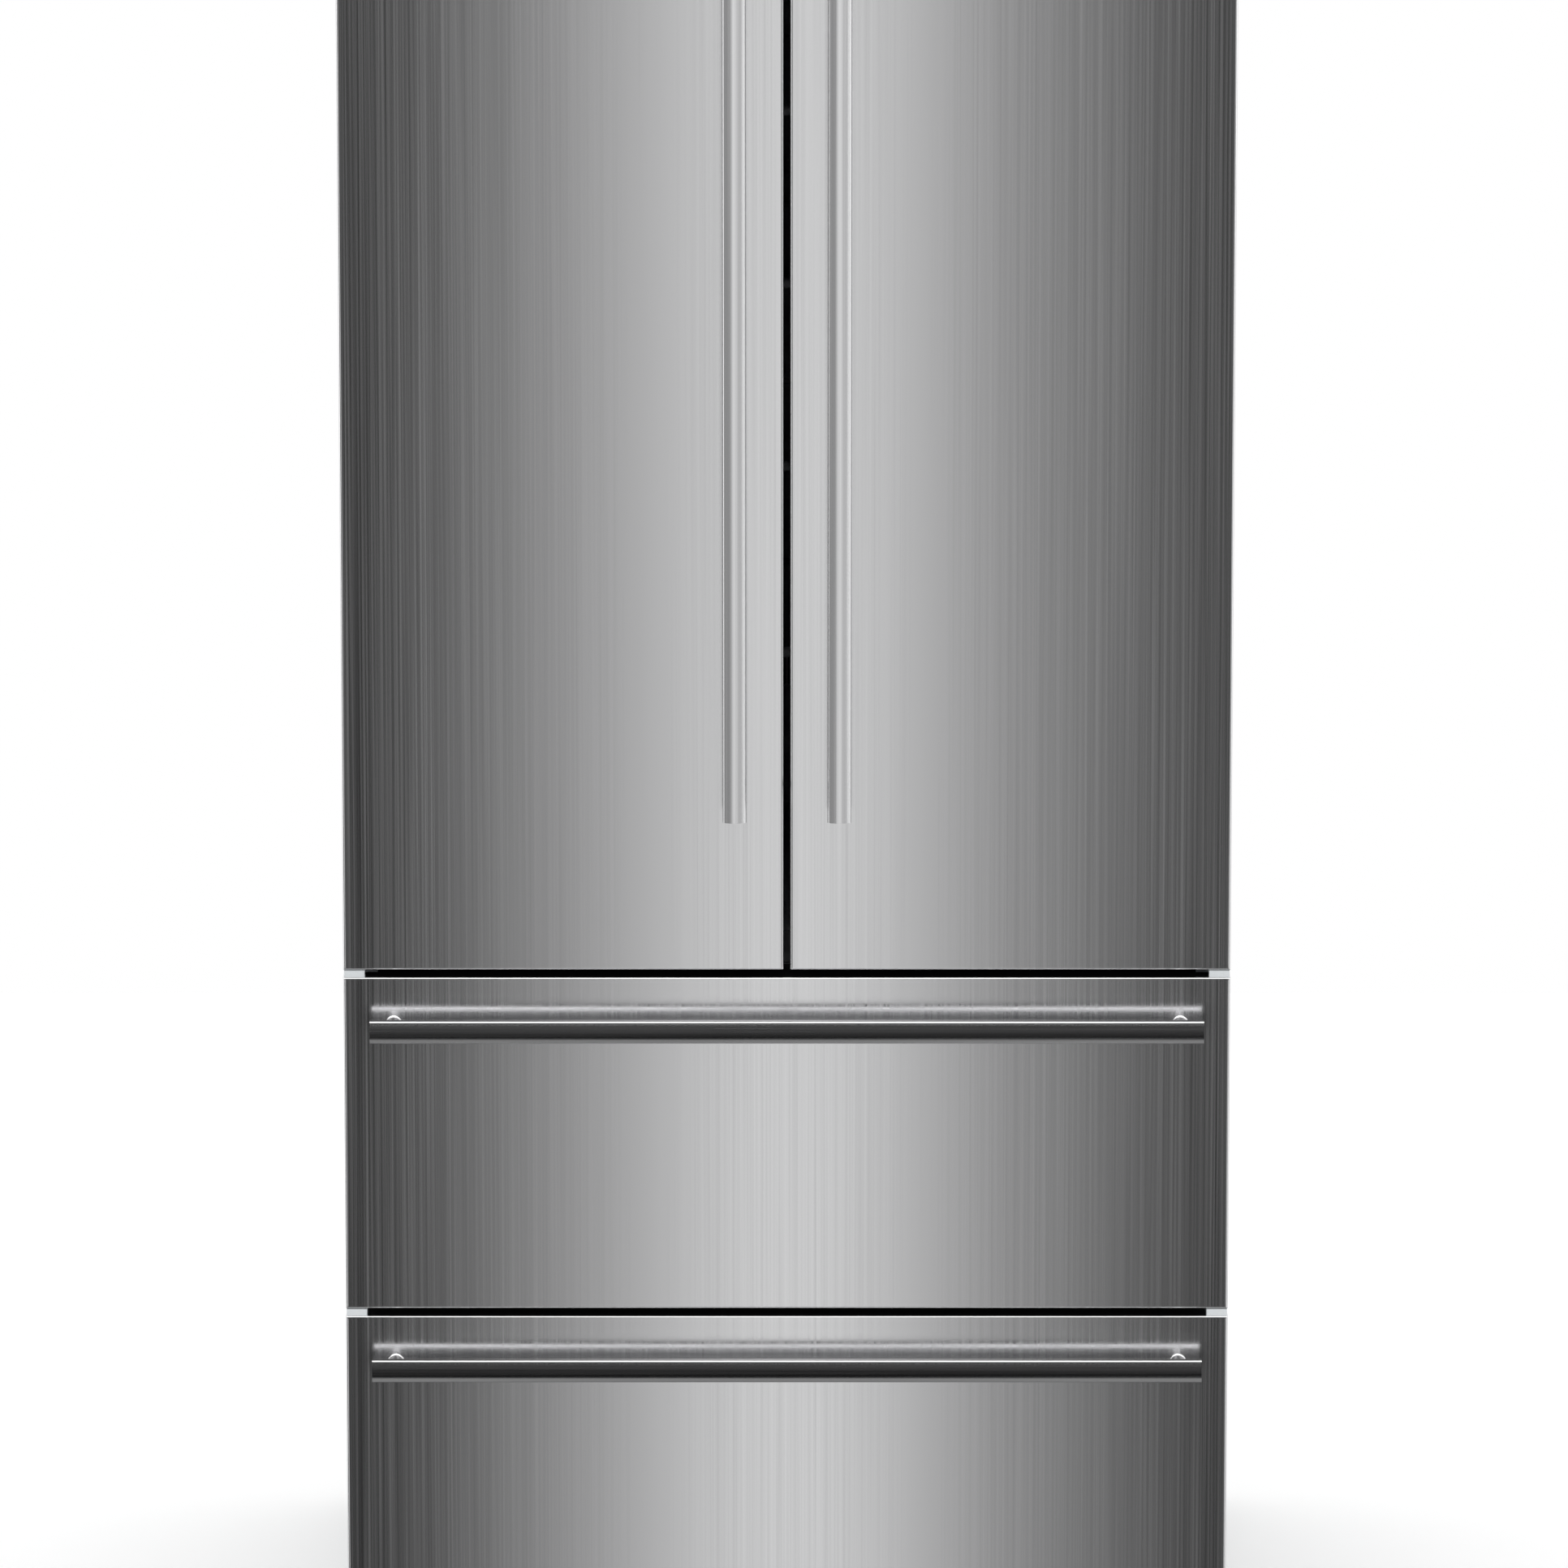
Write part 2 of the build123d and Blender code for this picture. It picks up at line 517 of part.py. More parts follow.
def compressor():
    """Domed compressor on its mounting plate and four rubber grommets."""
    x = -HALF_CASE + SHEET + COMPRESSOR_INSET
    radius, height, dome = COMPRESSOR
    foot_radius, foot_height = GROMMET
    width, depth, sheet = COMPRESSOR_PLATE
    plate_z = (BASE_TOP_Z + foot_height, BASE_TOP_Z + foot_height + sheet)
    shell = rod((x, BAY_MIDDLE_Y, plate_z[1]), (0, 0, 1), radius, height)
    shell = fillet(shell.edges().group_by(Axis.Z)[-1], dome)
    body = shell + block(centred(x, width), centred(BAY_MIDDLE_Y, depth), plate_z)
    for dx in shrink((-width / 2, width / 2), GROMMET_INSET):
        for dy in shrink((-depth / 2, depth / 2), GROMMET_INSET):
            body += rod((x + dx, BAY_MIDDLE_Y + dy, BASE_TOP_Z), (0, 0, 1), foot_radius, foot_height)
    stub_radius, reach, rise = STUB
    return [body + rod((x, BAY_MIDDLE_Y, plate_z[1] + rise), (1, 0, 0), stub_radius, reach)]


def coil(length, depth, height, fins):
    """A finned coil about the origin: tubes along X through thin upright fins."""
    pitch = height / COIL_ROWS
    end_x = length / 2 + COIL_END
    body = Pos(0, 0, 0) * Box(2 * end_x, COIL_TUBE, COIL_TUBE)
    for row in range(COIL_ROWS):
        z = (row + 0.5) * pitch - height / 2
        body += rod((-end_x, 0, z), (1, 0, 0), COIL_TUBE, 2 * end_x)
    for fin in range(fins):
        body += Pos(-length / 2 + fin * length / (fins - 1), 0, 0) * Box(SHEET, depth, height)
    for side in (-1, 1):
        body += Pos(side * end_x, 0, 0) * Box(COIL_END, COIL_END, height - pitch)
    return body


def heat_exchangers():
    """The condenser in the bay and the evaporator behind the freezer's air cover."""
    condenser = Rot(0, 0, 90) * coil(*CONDENSER)
    return [Pos(CONDENSER_X, BAY_MIDDLE_Y, BAY_FAN_Z) * condenser,
            Pos(0, UPPER_ROOM_BACK - EVAPORATOR_AHEAD, UPPER_ROOM_Z[0] + EVAPORATOR_RISE) * coil(*EVAPORATOR)]


def fan():
    """A fan about the origin, blowing along +Z, with its shaft behind it."""
    hub_radius, hub_length = FAN_HUB
    chord, thickness, pitch = BLADE
    span = FAN_RADIUS - BLADE_ROOT
    wheel = Pos(0, 0, 0) * Cylinder(hub_radius, hub_length)
    for index in range(FAN_BLADES):
        blade = Pos(BLADE_ROOT + span / 2, 0, 0) * Rot(pitch, 0, 0) * Box(span, chord, thickness)
        wheel += Rot(0, 0, index * 360 / FAN_BLADES) * blade
    return wheel + rod((0, 0, -hub_length / 2), (0, 0, -1), SHAFT_RADIUS, SHAFT_LENGTH)


def fan_motor(leg_top):
    """A motor about the fan's origin, on a crossbar with two legs reaching forward."""
    radius, length = MOTOR
    past, width, sheet = CROSSBAR
    half = FAN_HOLE + past
    top = -FAN_HUB[1] / 2 - MOTOR_GAP
    low = top - length
    motor = rod((0, 0, top), (0, 0, -1), radius, length)
    motor += block((-half, half), centred(0, width), (low, low + sheet))
    for side in (-1, 1):
        leg_x = centred(side * (half - CROSSBAR_LEG / 2), CROSSBAR_LEG)
        motor += block(leg_x, centred(0, width), (low, leg_top))
    return motor - rod((0, 0, top), (0, 0, -1), SHAFT_RADIUS + SHAFT_CLEAR, SHAFT_BORE)


def freezer_fan_place():
    return Pos(0, UPPER_ROOM_BACK - FAN_AHEAD, FREEZER_FAN_Z) * Rot(90, 0, 0)


def bay_fan_place():
    return Pos(BAY_FAN_X, BAY_MIDDLE_Y, BAY_FAN_Z) * Rot(0, 90, 0)


def fan_motors():
    """Both fan motors, and the shroud plate that carries the condenser's."""
    ahead, sheet, width, height = SHROUD
    x = (BAY_FAN_X + ahead, BAY_FAN_X + ahead + sheet)
    shroud = block(x, centred(BAY_MIDDLE_Y, width), (BASE_TOP_Z, BASE_TOP_Z + height))
    shroud -= rod((x[0], BAY_MIDDLE_Y, BAY_FAN_Z), (1, 0, 0), FAN_HOLE, sheet)
    return [bay_fan_place() * fan_motor(ahead), shroud,
            freezer_fan_place() * fan_motor(COVER_AHEAD - FAN_AHEAD)]


def fridge_air_duct():
    """Shallow duct on the back wall, open behind, with a slot for each shelf space."""
    x = centred(0, DUCT_WIDTH)
    y = (FRIDGE_ROOM_BACK - DUCT_DEPTH, FRIDGE_ROOM_BACK)
    z = (FRIDGE_ROOM_Z[0] + DUCT_FOOT, FRIDGE_ROOM_Z[1] - DUCT_HEAD)
    duct = block(x, y, z)
    duct -= block(shrink(x, LINER), (y[0] + LINER, y[1] + LINER), shrink(z, LINER))
    width, height = SLOT_SIZE
    top = FRIDGE_ROOM_Z[0] + SLOT_RISE
    return cut(duct, [block(centred(0, width), y, centred(top - row * SLOT_PITCH, height))
                      for row in range(SLOT_COUNT)])


def evaporator_cover():
    """Plate in front of the evaporator, with the fan's hole and a row of return slots."""
    count, pitch, width, height, rise = RETURN_SLOTS
    plate = block((-HALF_ROOM, HALF_ROOM), UPPER_COVER_Y, UPPER_ROOM_Z)
    plate -= rod((0, UPPER_COVER_Y[0], FREEZER_FAN_Z), (0, 1, 0), FAN_HOLE, PLASTIC)
    return cut(plate, slot_grid(UPPER_COVER_Y, UPPER_ROOM_Z[0], 1, count, pitch, 0, width, height, rise))


def power_inlet():
    """Three-pin inlet low on the back, where a detachable cord would plug in."""
    width, height, depth = INLET
    side, end, floor = INLET_WALL
    thick, wide, tip = INLET_PIN
    middle_x, middle_z = INLET_PLACE[0], BAY_TOP_Z + INLET_PLACE[1]
    x, z = centred(middle_x, width), centred(middle_z, height)
    y = (CASE_BACK_Y, CASE_BACK_Y + depth)
    body = block(x, y, z) - block(shrink(x, side), (y[0] + floor, y[1]), shrink(z, end))
    for dx, dz in INLET_PINS:
        body += block(centred(middle_x + dx, thick), (y[0], y[1] - tip), centred(middle_z + dz, wide))
    return [body]


# ------------------------------------------------------------------ inside the fridge
def shelf_glass():
    x = shrink((-HALF_ROOM, HALF_ROOM), SIDE_PLAY)
    y = SHELF_Y
    plate_y = (y[0] + TRIM_DEPTH / 2, y[1] - TRIM_DEPTH / 2)
    return [block(x, plate_y, (top - TRIM_HEIGHT + LINER, top - TRIM_HEIGHT + LINER + GLASS))
            for top in SHELF_TOPS]


def shelf_trims():
    """Moulded rails clipped on the front and back edge of each glass shelf."""
    x = shrink((-HALF_ROOM, HALF_ROOM), SIDE_PLAY)
    y = SHELF_Y
    trims = []
    for top, glass in zip(SHELF_TOPS, shelf_glass()):
        z = (top - TRIM_HEIGHT, top)
        front = block(x, (y[0], y[0] + TRIM_DEPTH), z)
        front = fillet(front.edges().filter_by(Axis.X).group_by(Axis.Y)[0], LINER)
        rear = block(x, (y[1] - TRIM_DEPTH, y[1]), z)
        trims += [front - glass, rear - glass]
    return trims


def crisper_pans():
    """Two open pans side by side on the compartment floor, under the lowest shelf."""
    x = (-HALF_ROOM + SIDE_PLAY, -SIDE_PLAY)
    y = (SHELF_Y[0] + PLASTIC, FRIDGE_ROOM_BACK - PAN_BACK_GAP)
    z = (FRIDGE_ROOM_Z[0], SHELF_TOPS[0] - TRIM_HEIGHT - RIB_HEIGHT - PAN_HEADROOM)
    pan = open_tray(x, y, z, PLASTIC, "top")
    inset, reach, drop, height = PAN_LIP
    lip = block(shrink(x, inset), (y[0] - reach, y[0]), (z[1] - drop - height, z[1] - drop))
    lip = fillet(lip.edges().filter_by(Axis.X).group_by(Axis.Y)[0], PLASTIC)
    return pair([pan + lip])


def mullion_guide():
    """Block under the ceiling whose curved track takes the mullion's guide pin."""
    roof = FRIDGE_ROOM_Z[1]
    low = roof - GUIDE_DROP
    guide = block(GUIDE_X, (MULLION_Y + GUIDE_Y[0], MULLION_Y + GUIDE_Y[1]), (low, roof))
    half_track = FOLLOWER_RADIUS + SHEET
    outer, inner = [rod((-MULLION_PIVOT_X, MULLION_Y, low), (0, 0, 1), radius, GUIDE_TRACK)
                    for radius in (FOLLOWER_REACH + half_track, FOLLOWER_REACH - half_track)]
    return guide - (outer - inner)


def ceiling_fittings():
    """Control panel, lamp and mullion guide, fixed under the compartment's ceiling."""
    roof = FRIDGE_ROOM_Z[1]
    width, depth, height, bevel = CONTROL_PANEL
    y = (CASE_Y + CONTROL_BEHIND, CASE_Y + CONTROL_BEHIND + depth)
    panel = block(centred(0, width), y, (roof - height, roof))
    panel = chamfer(panel.edges().filter_by(Axis.X).group_by(Axis.Z)[0].sort_by(Axis.Y)[0], bevel)
    width, depth, height, rounding = LAMP
    y = (CASE_Y + LAMP_BEHIND, CASE_Y + LAMP_BEHIND + depth)
    lamp = block(centred(0, width), y, (roof - height, roof))
    lamp = fillet(lamp.edges().group_by(Axis.Z)[0], rounding)
    return [panel, lamp, mullion_guide()]


# ------------------------------------------------------------------ drawer slides
def slide_channel(x, y, z_middle, height, opens):
    """A channel with its web at the outer (or inner) end of x and two flanges."""
    z = centred(z_middle, height)
    web_x = (x[0], x[0] + SLIDE_SHEET) if opens == "inward" else (x[1] - SLIDE_SHEET, x[1])
    return (block(web_x, y, z) + block(x, y, (z[0], z[0] + SLIDE_SHEET))
            + block(x, y, (z[1] - SLIDE_SHEET, z[1])))


def slide_members(room_z, room_back):
    """Fixed member, middle member and drawer runner of the left slide, and the runner's plate."""
    wall = -HALF_ROOM
    z = room_z[0] + SLIDE_RISE
    y = (CASE_Y + SLIDE_FRONT, room_back - SLIDE_END_CLEAR)
    inner = wall + SLIDE_THICK - SHEET
    members = [slide_channel((wall + SLIDE_STEPS[0], inner), y, z, SLIDE_HEIGHTS[0], "inward"),
               slide_channel((wall + SLIDE_STEPS[1], inner), y, z, SLIDE_HEIGHTS[1], "inward")]
    width, thick, height = BRACKET_PLATE
    members.append(slide_channel((wall + SLIDE_STEPS[2], wall + SLIDE_THICK), (BACK_Y + thick, y[1]), z,
                                 SLIDE_HEIGHTS[2], "outward"))
    members.append(block((wall + SLIDE_SHEET, wall + SLIDE_SHEET + width), (BACK_Y, BACK_Y + thick),
                         centred(z, height)))
    return members


UPPER_BAY = (UPPER_ROOM_Z, UPPER_COVER_Y[0])
LOWER_BAY = (LOWER_ROOM_Z, LOWER_ROOM_BACK)


def fixed_slides():
    return pair([slide_members(*UPPER_BAY)[0], slide_members(*LOWER_BAY)[0]])


# ------------------------------------------------------------------ hinges
def hinge_brackets():
    """Top and middle brackets of the left door, each with the pin it turns on."""
    x = -HINGE_X
    front = HINGE_Y - PLATE_REACH
    plate_x = (x - PLATE_SIDES[0], x + PLATE_SIDES[1])
    arm_x = (x - PLATE_SIDES[0], x + ARM_INNER)
    top_z = (CASE_TOP_Z, CASE_TOP_Z + HINGE_PLATE)
    top = block(plate_x, (CASE_Y, CASE_Y + PLATE_DEPTH), top_z) + block(arm_x, (front, CASE_Y), top_z)
    top += rod((x, HINGE_Y, CASE_TOP_Z), (0, 0, -1), PIN_RADIUS, TOP_GAP + PIN_LENGTH)
    arm_z = centred(UPPER_RAIL_MID, HINGE_PLATE)
    middle = block(arm_x, (front, CASE_Y), arm_z)
    middle += block(plate_x, (CASE_Y - PLASTIC, CASE_Y), centred(UPPER_RAIL_MID, FLANGE_HEIGHT))
    middle += rod((x, HINGE_Y, arm_z[1]), (0, 0, 1), PIN_RADIUS, DOOR_Z[0] - arm_z[1] + PIN_LENGTH)
    return [top, middle]


def hinge_covers():
    """Moulded caps over the top hinges."""
    out, ahead, behind, inward = COVER_MARGIN
    x = (-HINGE_X - PLATE_SIDES[0] - out, -HINGE_X + PLATE_SIDES[1] + inward)
    y = (HINGE_Y - PLATE_REACH - ahead, CASE_Y + PLATE_DEPTH + behind)
    z = (CASE_TOP_Z, CASE_TOP_Z + HINGE_COVER_HEIGHT)
    cap = block(x, y, z)
    cap = fillet(cap.edges().filter_by(Axis.Z) + cap.edges().group_by(Axis.Z)[-1], COVER_ROUND)
    room = block(shrink(x, PLASTIC), shrink(y, PLASTIC), (z[0], z[1] - PLASTIC))
    return pair([cap - room])


# ------------------------------------------------------------------ fronts
def front_skin(x, z):
    """Sheet over the face and sides of a front, returned 21 mm over its four corners."""
    outer = block(x, (FACE_Y, BACK_Y), z)
    outer = fillet(outer.edges().group_by(Axis.Y)[0], EDGE_ROUND)
    inner = block(shrink(x, SHEET), (FACE_Y + SHEET, BACK_Y), shrink(z, SHEET))
    inner = fillet(inner.edges().group_by(Axis.Y)[0], EDGE_ROUND - SHEET)
    mouth = block(shrink(x, CORNER_RETURN), (FACE_Y + LIP, BACK_Y), (z[0] - SHEET, z[1] + SHEET))
    return outer - inner - mouth


def cap_spans(x, z):
    """X span, Y span and the two Z spans of the plastic end caps of a front."""
    return (shrink(x, SHEET), (FACE_Y + LIP, BACK_Y - PANEL),
            (z[0] + SHEET, z[0] + SHEET + CAP_THICK), (z[1] - SHEET - CAP_THICK, z[1] - SHEET))


def front_caps(x, z):
    cap_x, cap_y, low, high = cap_spans(x, z)
    return block(cap_x, cap_y, low), block(cap_x, cap_y, high)


def front_slab(x, z):
    """Foam between the skin, the end caps and the inner panel."""
    cap_x, cap_y, low, high = cap_spans(x, z)
    slab = block(cap_x, (FACE_Y + SHEET, BACK_Y - PANEL), (low[1], high[0]))
    return fillet(slab.edges().filter_by(Axis.Z).group_by(Axis.Y)[0], EDGE_ROUND - SHEET)


def panel_plate(x, z):
    return block(shrink(x, SHEET), (BACK_Y - PANEL, BACK_Y), shrink(z, SHEET))


def gasket(x, z):
    """Magnetic seal: a square-cornered ring behind a front, just short of the case."""
    y = (BACK_Y, CASE_Y - GASKET_CLEAR)
    ring = block(x, y, z) - block(shrink(x, GASKET_WIDTH), y, shrink(z, GASKET_WIDTH))
    return chamfer(ring.faces().sort_by(Axis.Y)[-1].edges(), LINER)


def grip(length):
    """A grip along Z about the origin: flat back, crowned front facing -Y."""
    half, flat = GRIP_WIDTH / 2, GRIP_DEPTH - GRIP_CROWN
    outline = Polyline((-half, -flat), (-half, 0), (half, 0), (half, -flat))
    crown = ThreePointArc((-half, -flat), (0, -GRIP_DEPTH), (half, -flat))
    bar = extrude(make_face(Wire(outline.edges() + crown.edges())), amount=length)
    bar = Pos(0, 0, -length / 2) * bar
    bar = fillet(bar.edges().filter_by(Axis.Z).group_by(Axis.Y)[0], GRIP_ROUND)
    return fillet(bar.edges().filter_by(Axis.Z).group_by(Axis.Y)[-1], GRIP_BACK_ROUND)


def post(x, z):
    """A round post from a front's face to the back of its grip."""
    return rod((x, FACE_Y, z), (0, -1, 0), POST_RADIUS, HANDLE_REACH - GRIP_DEPTH)


def door_handle():
    low, high = DOOR_Z[0] + DOOR_GRIP_LOW, DOOR_Z[1] - DOOR_GRIP_TOP
    back = FACE_Y - HANDLE_REACH + GRIP_DEPTH
    bar = Pos(-DOOR_GRIP_OFFSET, back, (low + high) / 2) * grip(high - low)
    return [bar, post(-DOOR_GRIP_OFFSET, low + POST_INSET), post(-DOOR_GRIP_OFFSET, high - POST_INSET)]


def drawer_handle(z):
    length = FRONT_WIDTH - 2 * DRAWER_GRIP_INSET
    middle = z[1] - DRAWER_GRIP_DROP
    back = FACE_Y - HANDLE_REACH + GRIP_DEPTH
    reach = length / 2 - POST_INSET
    bar = Pos(0, back, middle) * Rot(0, 90, 0) * grip(length)
    return [bar, post(-reach, middle), post(reach, middle)]


def hinge_bosses():
    """The left door's bearing bosses, one up from its bottom cap and one down from its top."""
    low, high = cap_spans(DOOR_X, DOOR_Z)[2:]
    return [rod((-HINGE_X, HINGE_Y, low[1]), (0, 0, 1), BOSS_RADIUS, BOSS_DEPTH),
            rod((-HINGE_X, HINGE_Y, high[0]), (0, 0, -1), BOSS_RADIUS, BOSS_DEPTH)]


def hinge_bore(radius, depth):
    """Cutters for the pins, from outside the left door's bottom and top."""
    return [rod((-HINGE_X, HINGE_Y, DOOR_Z[0]), (0, 0, 1), radius, depth),
            rod((-HINGE_X, HINGE_Y, DOOR_Z[1]), (0, 0, -1), radius, depth)]


def dyke_bars(inset):
    """The four raised bars of the left door's inner panel, or the foam within them."""
    x, z = shrink(DYKE_X, inset), shrink(DYKE_Z, inset)
    y = (BACK_Y, DYKE_Y[1] - inset)
    width = DYKE_WIDTH - 2 * inset
    return [block((x[0], x[0] + width), y, z),
            block((x[1] - width, x[1]), y, z),
            block((x[0] + width, x[1] - width), y, (z[0], z[0] + width)),
            block((x[0] + width, x[1] - width), y, (z[1] - width, z[1]))]


def joined(pieces):
    whole = pieces[0]
    for piece in pieces[1:]:
        whole += piece
    return whole


def left_door_skin():
    skin = front_skin(DOOR_X, DOOR_Z)
    for hole in hinge_bore(PIN_RADIUS + PIN_HOLE_CLEAR, SHEET):
        skin -= hole
    return [skin]


def left_door_end_caps():
    caps = []
    bores = hinge_bore(PIN_RADIUS + PIN_CLEAR, SHEET + CAP_THICK + BOSS_DEPTH)
    for cap, boss, bore in zip(front_caps(DOOR_X, DOOR_Z), hinge_bosses(), bores):
        caps.append(cap + boss - bore)
    return caps


def left_door_foam():
    """A slab, and the four bars that fill the inner panel's raised rim."""
    return [cut(front_slab(DOOR_X, DOOR_Z), hinge_bosses())] + dyke_bars(PANEL)


def left_door_inner_panel():
    """Moulded panel with a hollow raised rim."""
    rim = joined(dyke_bars(0)) - joined(dyke_bars(PANEL))
    return panel_plate(DOOR_X, DOOR_Z) + rim


def mullion_bore(radius, length):
    """Rods on the mullion's axis, in from each of its ends."""
    return [rod((-MULLION_PIVOT_X, MULLION_Y, MULLION_Z[0]), (0, 0, 1), radius, length),
            rod((-MULLION_PIVOT_X, MULLION_Y, MULLION_Z[1]), (0, 0, -1), radius, length)]


def mullion_lugs():
    """Two lugs on the side of the left door's rim, each with a pin for the mullion."""
    y = centred(MULLION_Y, MULLION_THICK - LINER)
    x = (DYKE_X[1], -MULLION_PIVOT_X + MULLION_THICK / 2 - LINER)
    near = (MULLION_Z[0] - MULLION_LUG_CLEAR, MULLION_Z[1] + MULLION_LUG_CLEAR)
    reach = MULLION_LUG_CLEAR + MULLION_PIN_LENGTH
    return [block(x, y, (near[0] - MULLION_LUG, near[0]))
            + rod((-MULLION_PIVOT_X, MULLION_Y, near[0]), (0, 0, 1), MULLION_PIN_RADIUS, reach),
            block(x, y, (near[1], near[1] + MULLION_LUG))
            + rod((-MULLION_PIVOT_X, MULLION_Y, near[1]), (0, 0, -1), MULLION_PIN_RADIUS, reach)]


def mullion_bar():
    """Flipper mullion, folded back along the left door's rim, with its guide pin on top."""
    half = MULLION_THICK / 2
    bar = block(centred(-MULLION_PIVOT_X, MULLION_THICK), (MULLION_Y, MULLION_Y + MULLION_LENGTH_X - half),
                MULLION_Z)
    bar = fillet(bar.edges().filter_by(Axis.Z).group_by(Axis.Y)[-1], LINER)
    bar += mullion_bore(half, MULLION_Z[1] - MULLION_Z[0])[0]
    bar = cut(bar, mullion_bore(MULLION_PIN_RADIUS + PIN_CLEAR, MULLION_PIN_LENGTH + LINER))
    top = FRIDGE_ROOM_Z[1] - FOLLOWER_ROOF_GAP
    return [bar + rod((-MULLION_PIVOT_X, MULLION_Y + FOLLOWER_REACH, MULLION_Z[1]), (0, 0, 1),
                      FOLLOWER_RADIUS, top - MULLION_Z[1])]


def left_door_gasket():
    return [gasket((-HINGE_X + GASKET_SIDE, DOOR_X[1] - GASKET_MIDDLE),
                   (DOOR_Z[0] + GASKET_INSET, DOOR_Z[1] - GASKET_TOP))]


def left_door_bins():
    """Open bins, evenly spaced, that hang between the side bars of the inner panel's rim."""
    x = shrink(DYKE_X, DYKE_WIDTH + SHEET / 2)
    y = (BACK_Y, BACK_Y + BIN_REACH)
    lowest = DYKE_Z[0] + DYKE_WIDTH + BIN_LIFT
    highest = DYKE_Z[1] - DYKE_WIDTH - BIN_HEADROOM - BIN_HEIGHT
    bins = []
    for index in range(BIN_COUNT):
        floor = lowest + index * (highest - lowest) / (BIN_COUNT - 1)
        tray = open_tray(x, y, (floor, floor + BIN_HEIGHT), PLASTIC, "top")
        bins.append(fillet(tray.edges().filter_by(Axis.Z).group_by(Axis.Y)[-1], BIN_ROUND))
    return bins


def basket(room_z, back_y):
    """Open tub carried between the slides' drawer members."""
    half = HALF_ROOM - SLIDE_THICK
    z = (room_z[0] + BASKET_LIFT, room_z[1] - BASKET_HEADROOM)
    return open_tray((-half, half), (BACK_Y + BRACKET_PLATE[1], back_y), z, PLASTIC, "top")


def build_cabinet():
    for name, shapes in {
        "outer_case": outer_case(),
        "back_panel": back_panel(),
        "base_plate": base_plate(),
        "insulation_foam": insulation_foam(),
        "fridge_liner": fridge_liner(),
        "freezer_liners": freezer_liners(),
        "cross_rails": cross_rails(),
        "hinge_brackets": pair(hinge_brackets()),
        "hinge_covers": hinge_covers(),
        "toe_grille": toe_grille(),
        "bay_cover": bay_cover(),
        "compressor": compressor(),
        "heat_exchangers": heat_exchangers(),
        "air_covers": [fridge_air_duct(), evaporator_cover()],
        "shelf_glass": shelf_glass(),
        "shelf_trims": shelf_trims(),
        "crisper_pans": crisper_pans(),
        "ceiling_fittings": ceiling_fittings(),
        "fixed_slides": fixed_slides(),
        "power_inlet": power_inlet(),
        "fan_motors": fan_motors(),
        "front_foot_left": front_foot(),
        "front_foot_right": other_side(front_foot()),
        "rear_roller_left": rear_roller(),
        "rear_roller_right": other_side(rear_roller()),
        "condenser_fan": [bay_fan_place() * fan()],
        "evaporator_fan": [freezer_fan_place() * fan()],
        "mullion_bar": mullion_bar(),
    }.items():
        write(name, shapes)


def build_doors():
    left = {
        "skin": left_door_skin(),
        "foam": left_door_foam(),
        "gasket": left_door_gasket(),
        "end_caps": left_door_end_caps(),
        "handle": door_handle(),
        "bins": left_door_bins(),
    }
    for part, shapes in left.items():
        write(f"left_door_{part}", shapes)
        write(f"right_door_{part}", other_side(shapes))
    panel = left_door_inner_panel()
    write("left_door_inner_panel", [panel] + mullion_lugs())
    write("right_door_inner_panel", other_side([panel]))


def build_drawer(name, z, seal_z, room, basket_gap):
    fixed, middle, runner, plate = slide_members(*room)
    seal_x = (-HINGE_X + GASKET_SIDE, HINGE_X - GASKET_SIDE)
    for part, shapes in {
        "skin": [front_skin(DRAWER_X, z)],
        "foam": [front_slab(DRAWER_X, z)],
        "inner_panel": [panel_plate(DRAWER_X, z)],
        "gasket": [gasket(seal_x, seal_z)],
        "end_caps": list(front_caps(DRAWER_X, z)),
        "handle": drawer_handle(z),
        "basket": [basket(room[0], room[1] - basket_gap)],
        "runners": pair([runner, plate]),
    }.items():
        write(f"{name}_drawer_{part}", shapes)
    write(f"{name}_slide_middle", pair([middle]))


def main():
    os.makedirs("parts", exist_ok=True)
    build_cabinet()
    build_doors()
    upper_seal = shrink(UPPER_Z, GASKET_INSET)
    lower_seal = (BOTTOM_RAIL_Z[1] - GASKET_FOOT, LOWER_Z[1] - GASKET_INSET)
    build_drawer("upper", UPPER_Z, upper_seal, UPPER_BAY, UPPER_BASKET_GAP)
    build_drawer("lower", LOWER_Z, lower_seal, LOWER_BAY, LOWER_BASKET_GAP)


main()
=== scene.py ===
"""Looks of a French door refrigerator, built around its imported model."""

import json
import math

import bmesh
import bpy
from bpy.props import FloatProperty, FloatVectorProperty, IntProperty, PointerProperty
from mathutils import Matrix, Vector


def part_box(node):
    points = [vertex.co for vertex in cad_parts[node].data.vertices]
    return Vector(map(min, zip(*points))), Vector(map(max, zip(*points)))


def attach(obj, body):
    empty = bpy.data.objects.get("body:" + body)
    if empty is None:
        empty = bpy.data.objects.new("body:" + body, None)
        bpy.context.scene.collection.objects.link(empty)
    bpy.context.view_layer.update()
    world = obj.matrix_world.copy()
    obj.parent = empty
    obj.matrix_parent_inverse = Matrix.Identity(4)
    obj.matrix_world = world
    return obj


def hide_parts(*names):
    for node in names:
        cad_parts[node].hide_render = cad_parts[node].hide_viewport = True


bl_info = {
    "name": "French Door Refrigerator",
    "version": (1, 0, 0),
    "blender": (4, 5, 0),
    "location": "View3D > Sidebar > Refrigerator",
    "description": "Finishes, moulded details and a studio for a French door refrigerator",
    "category": "Object",
}

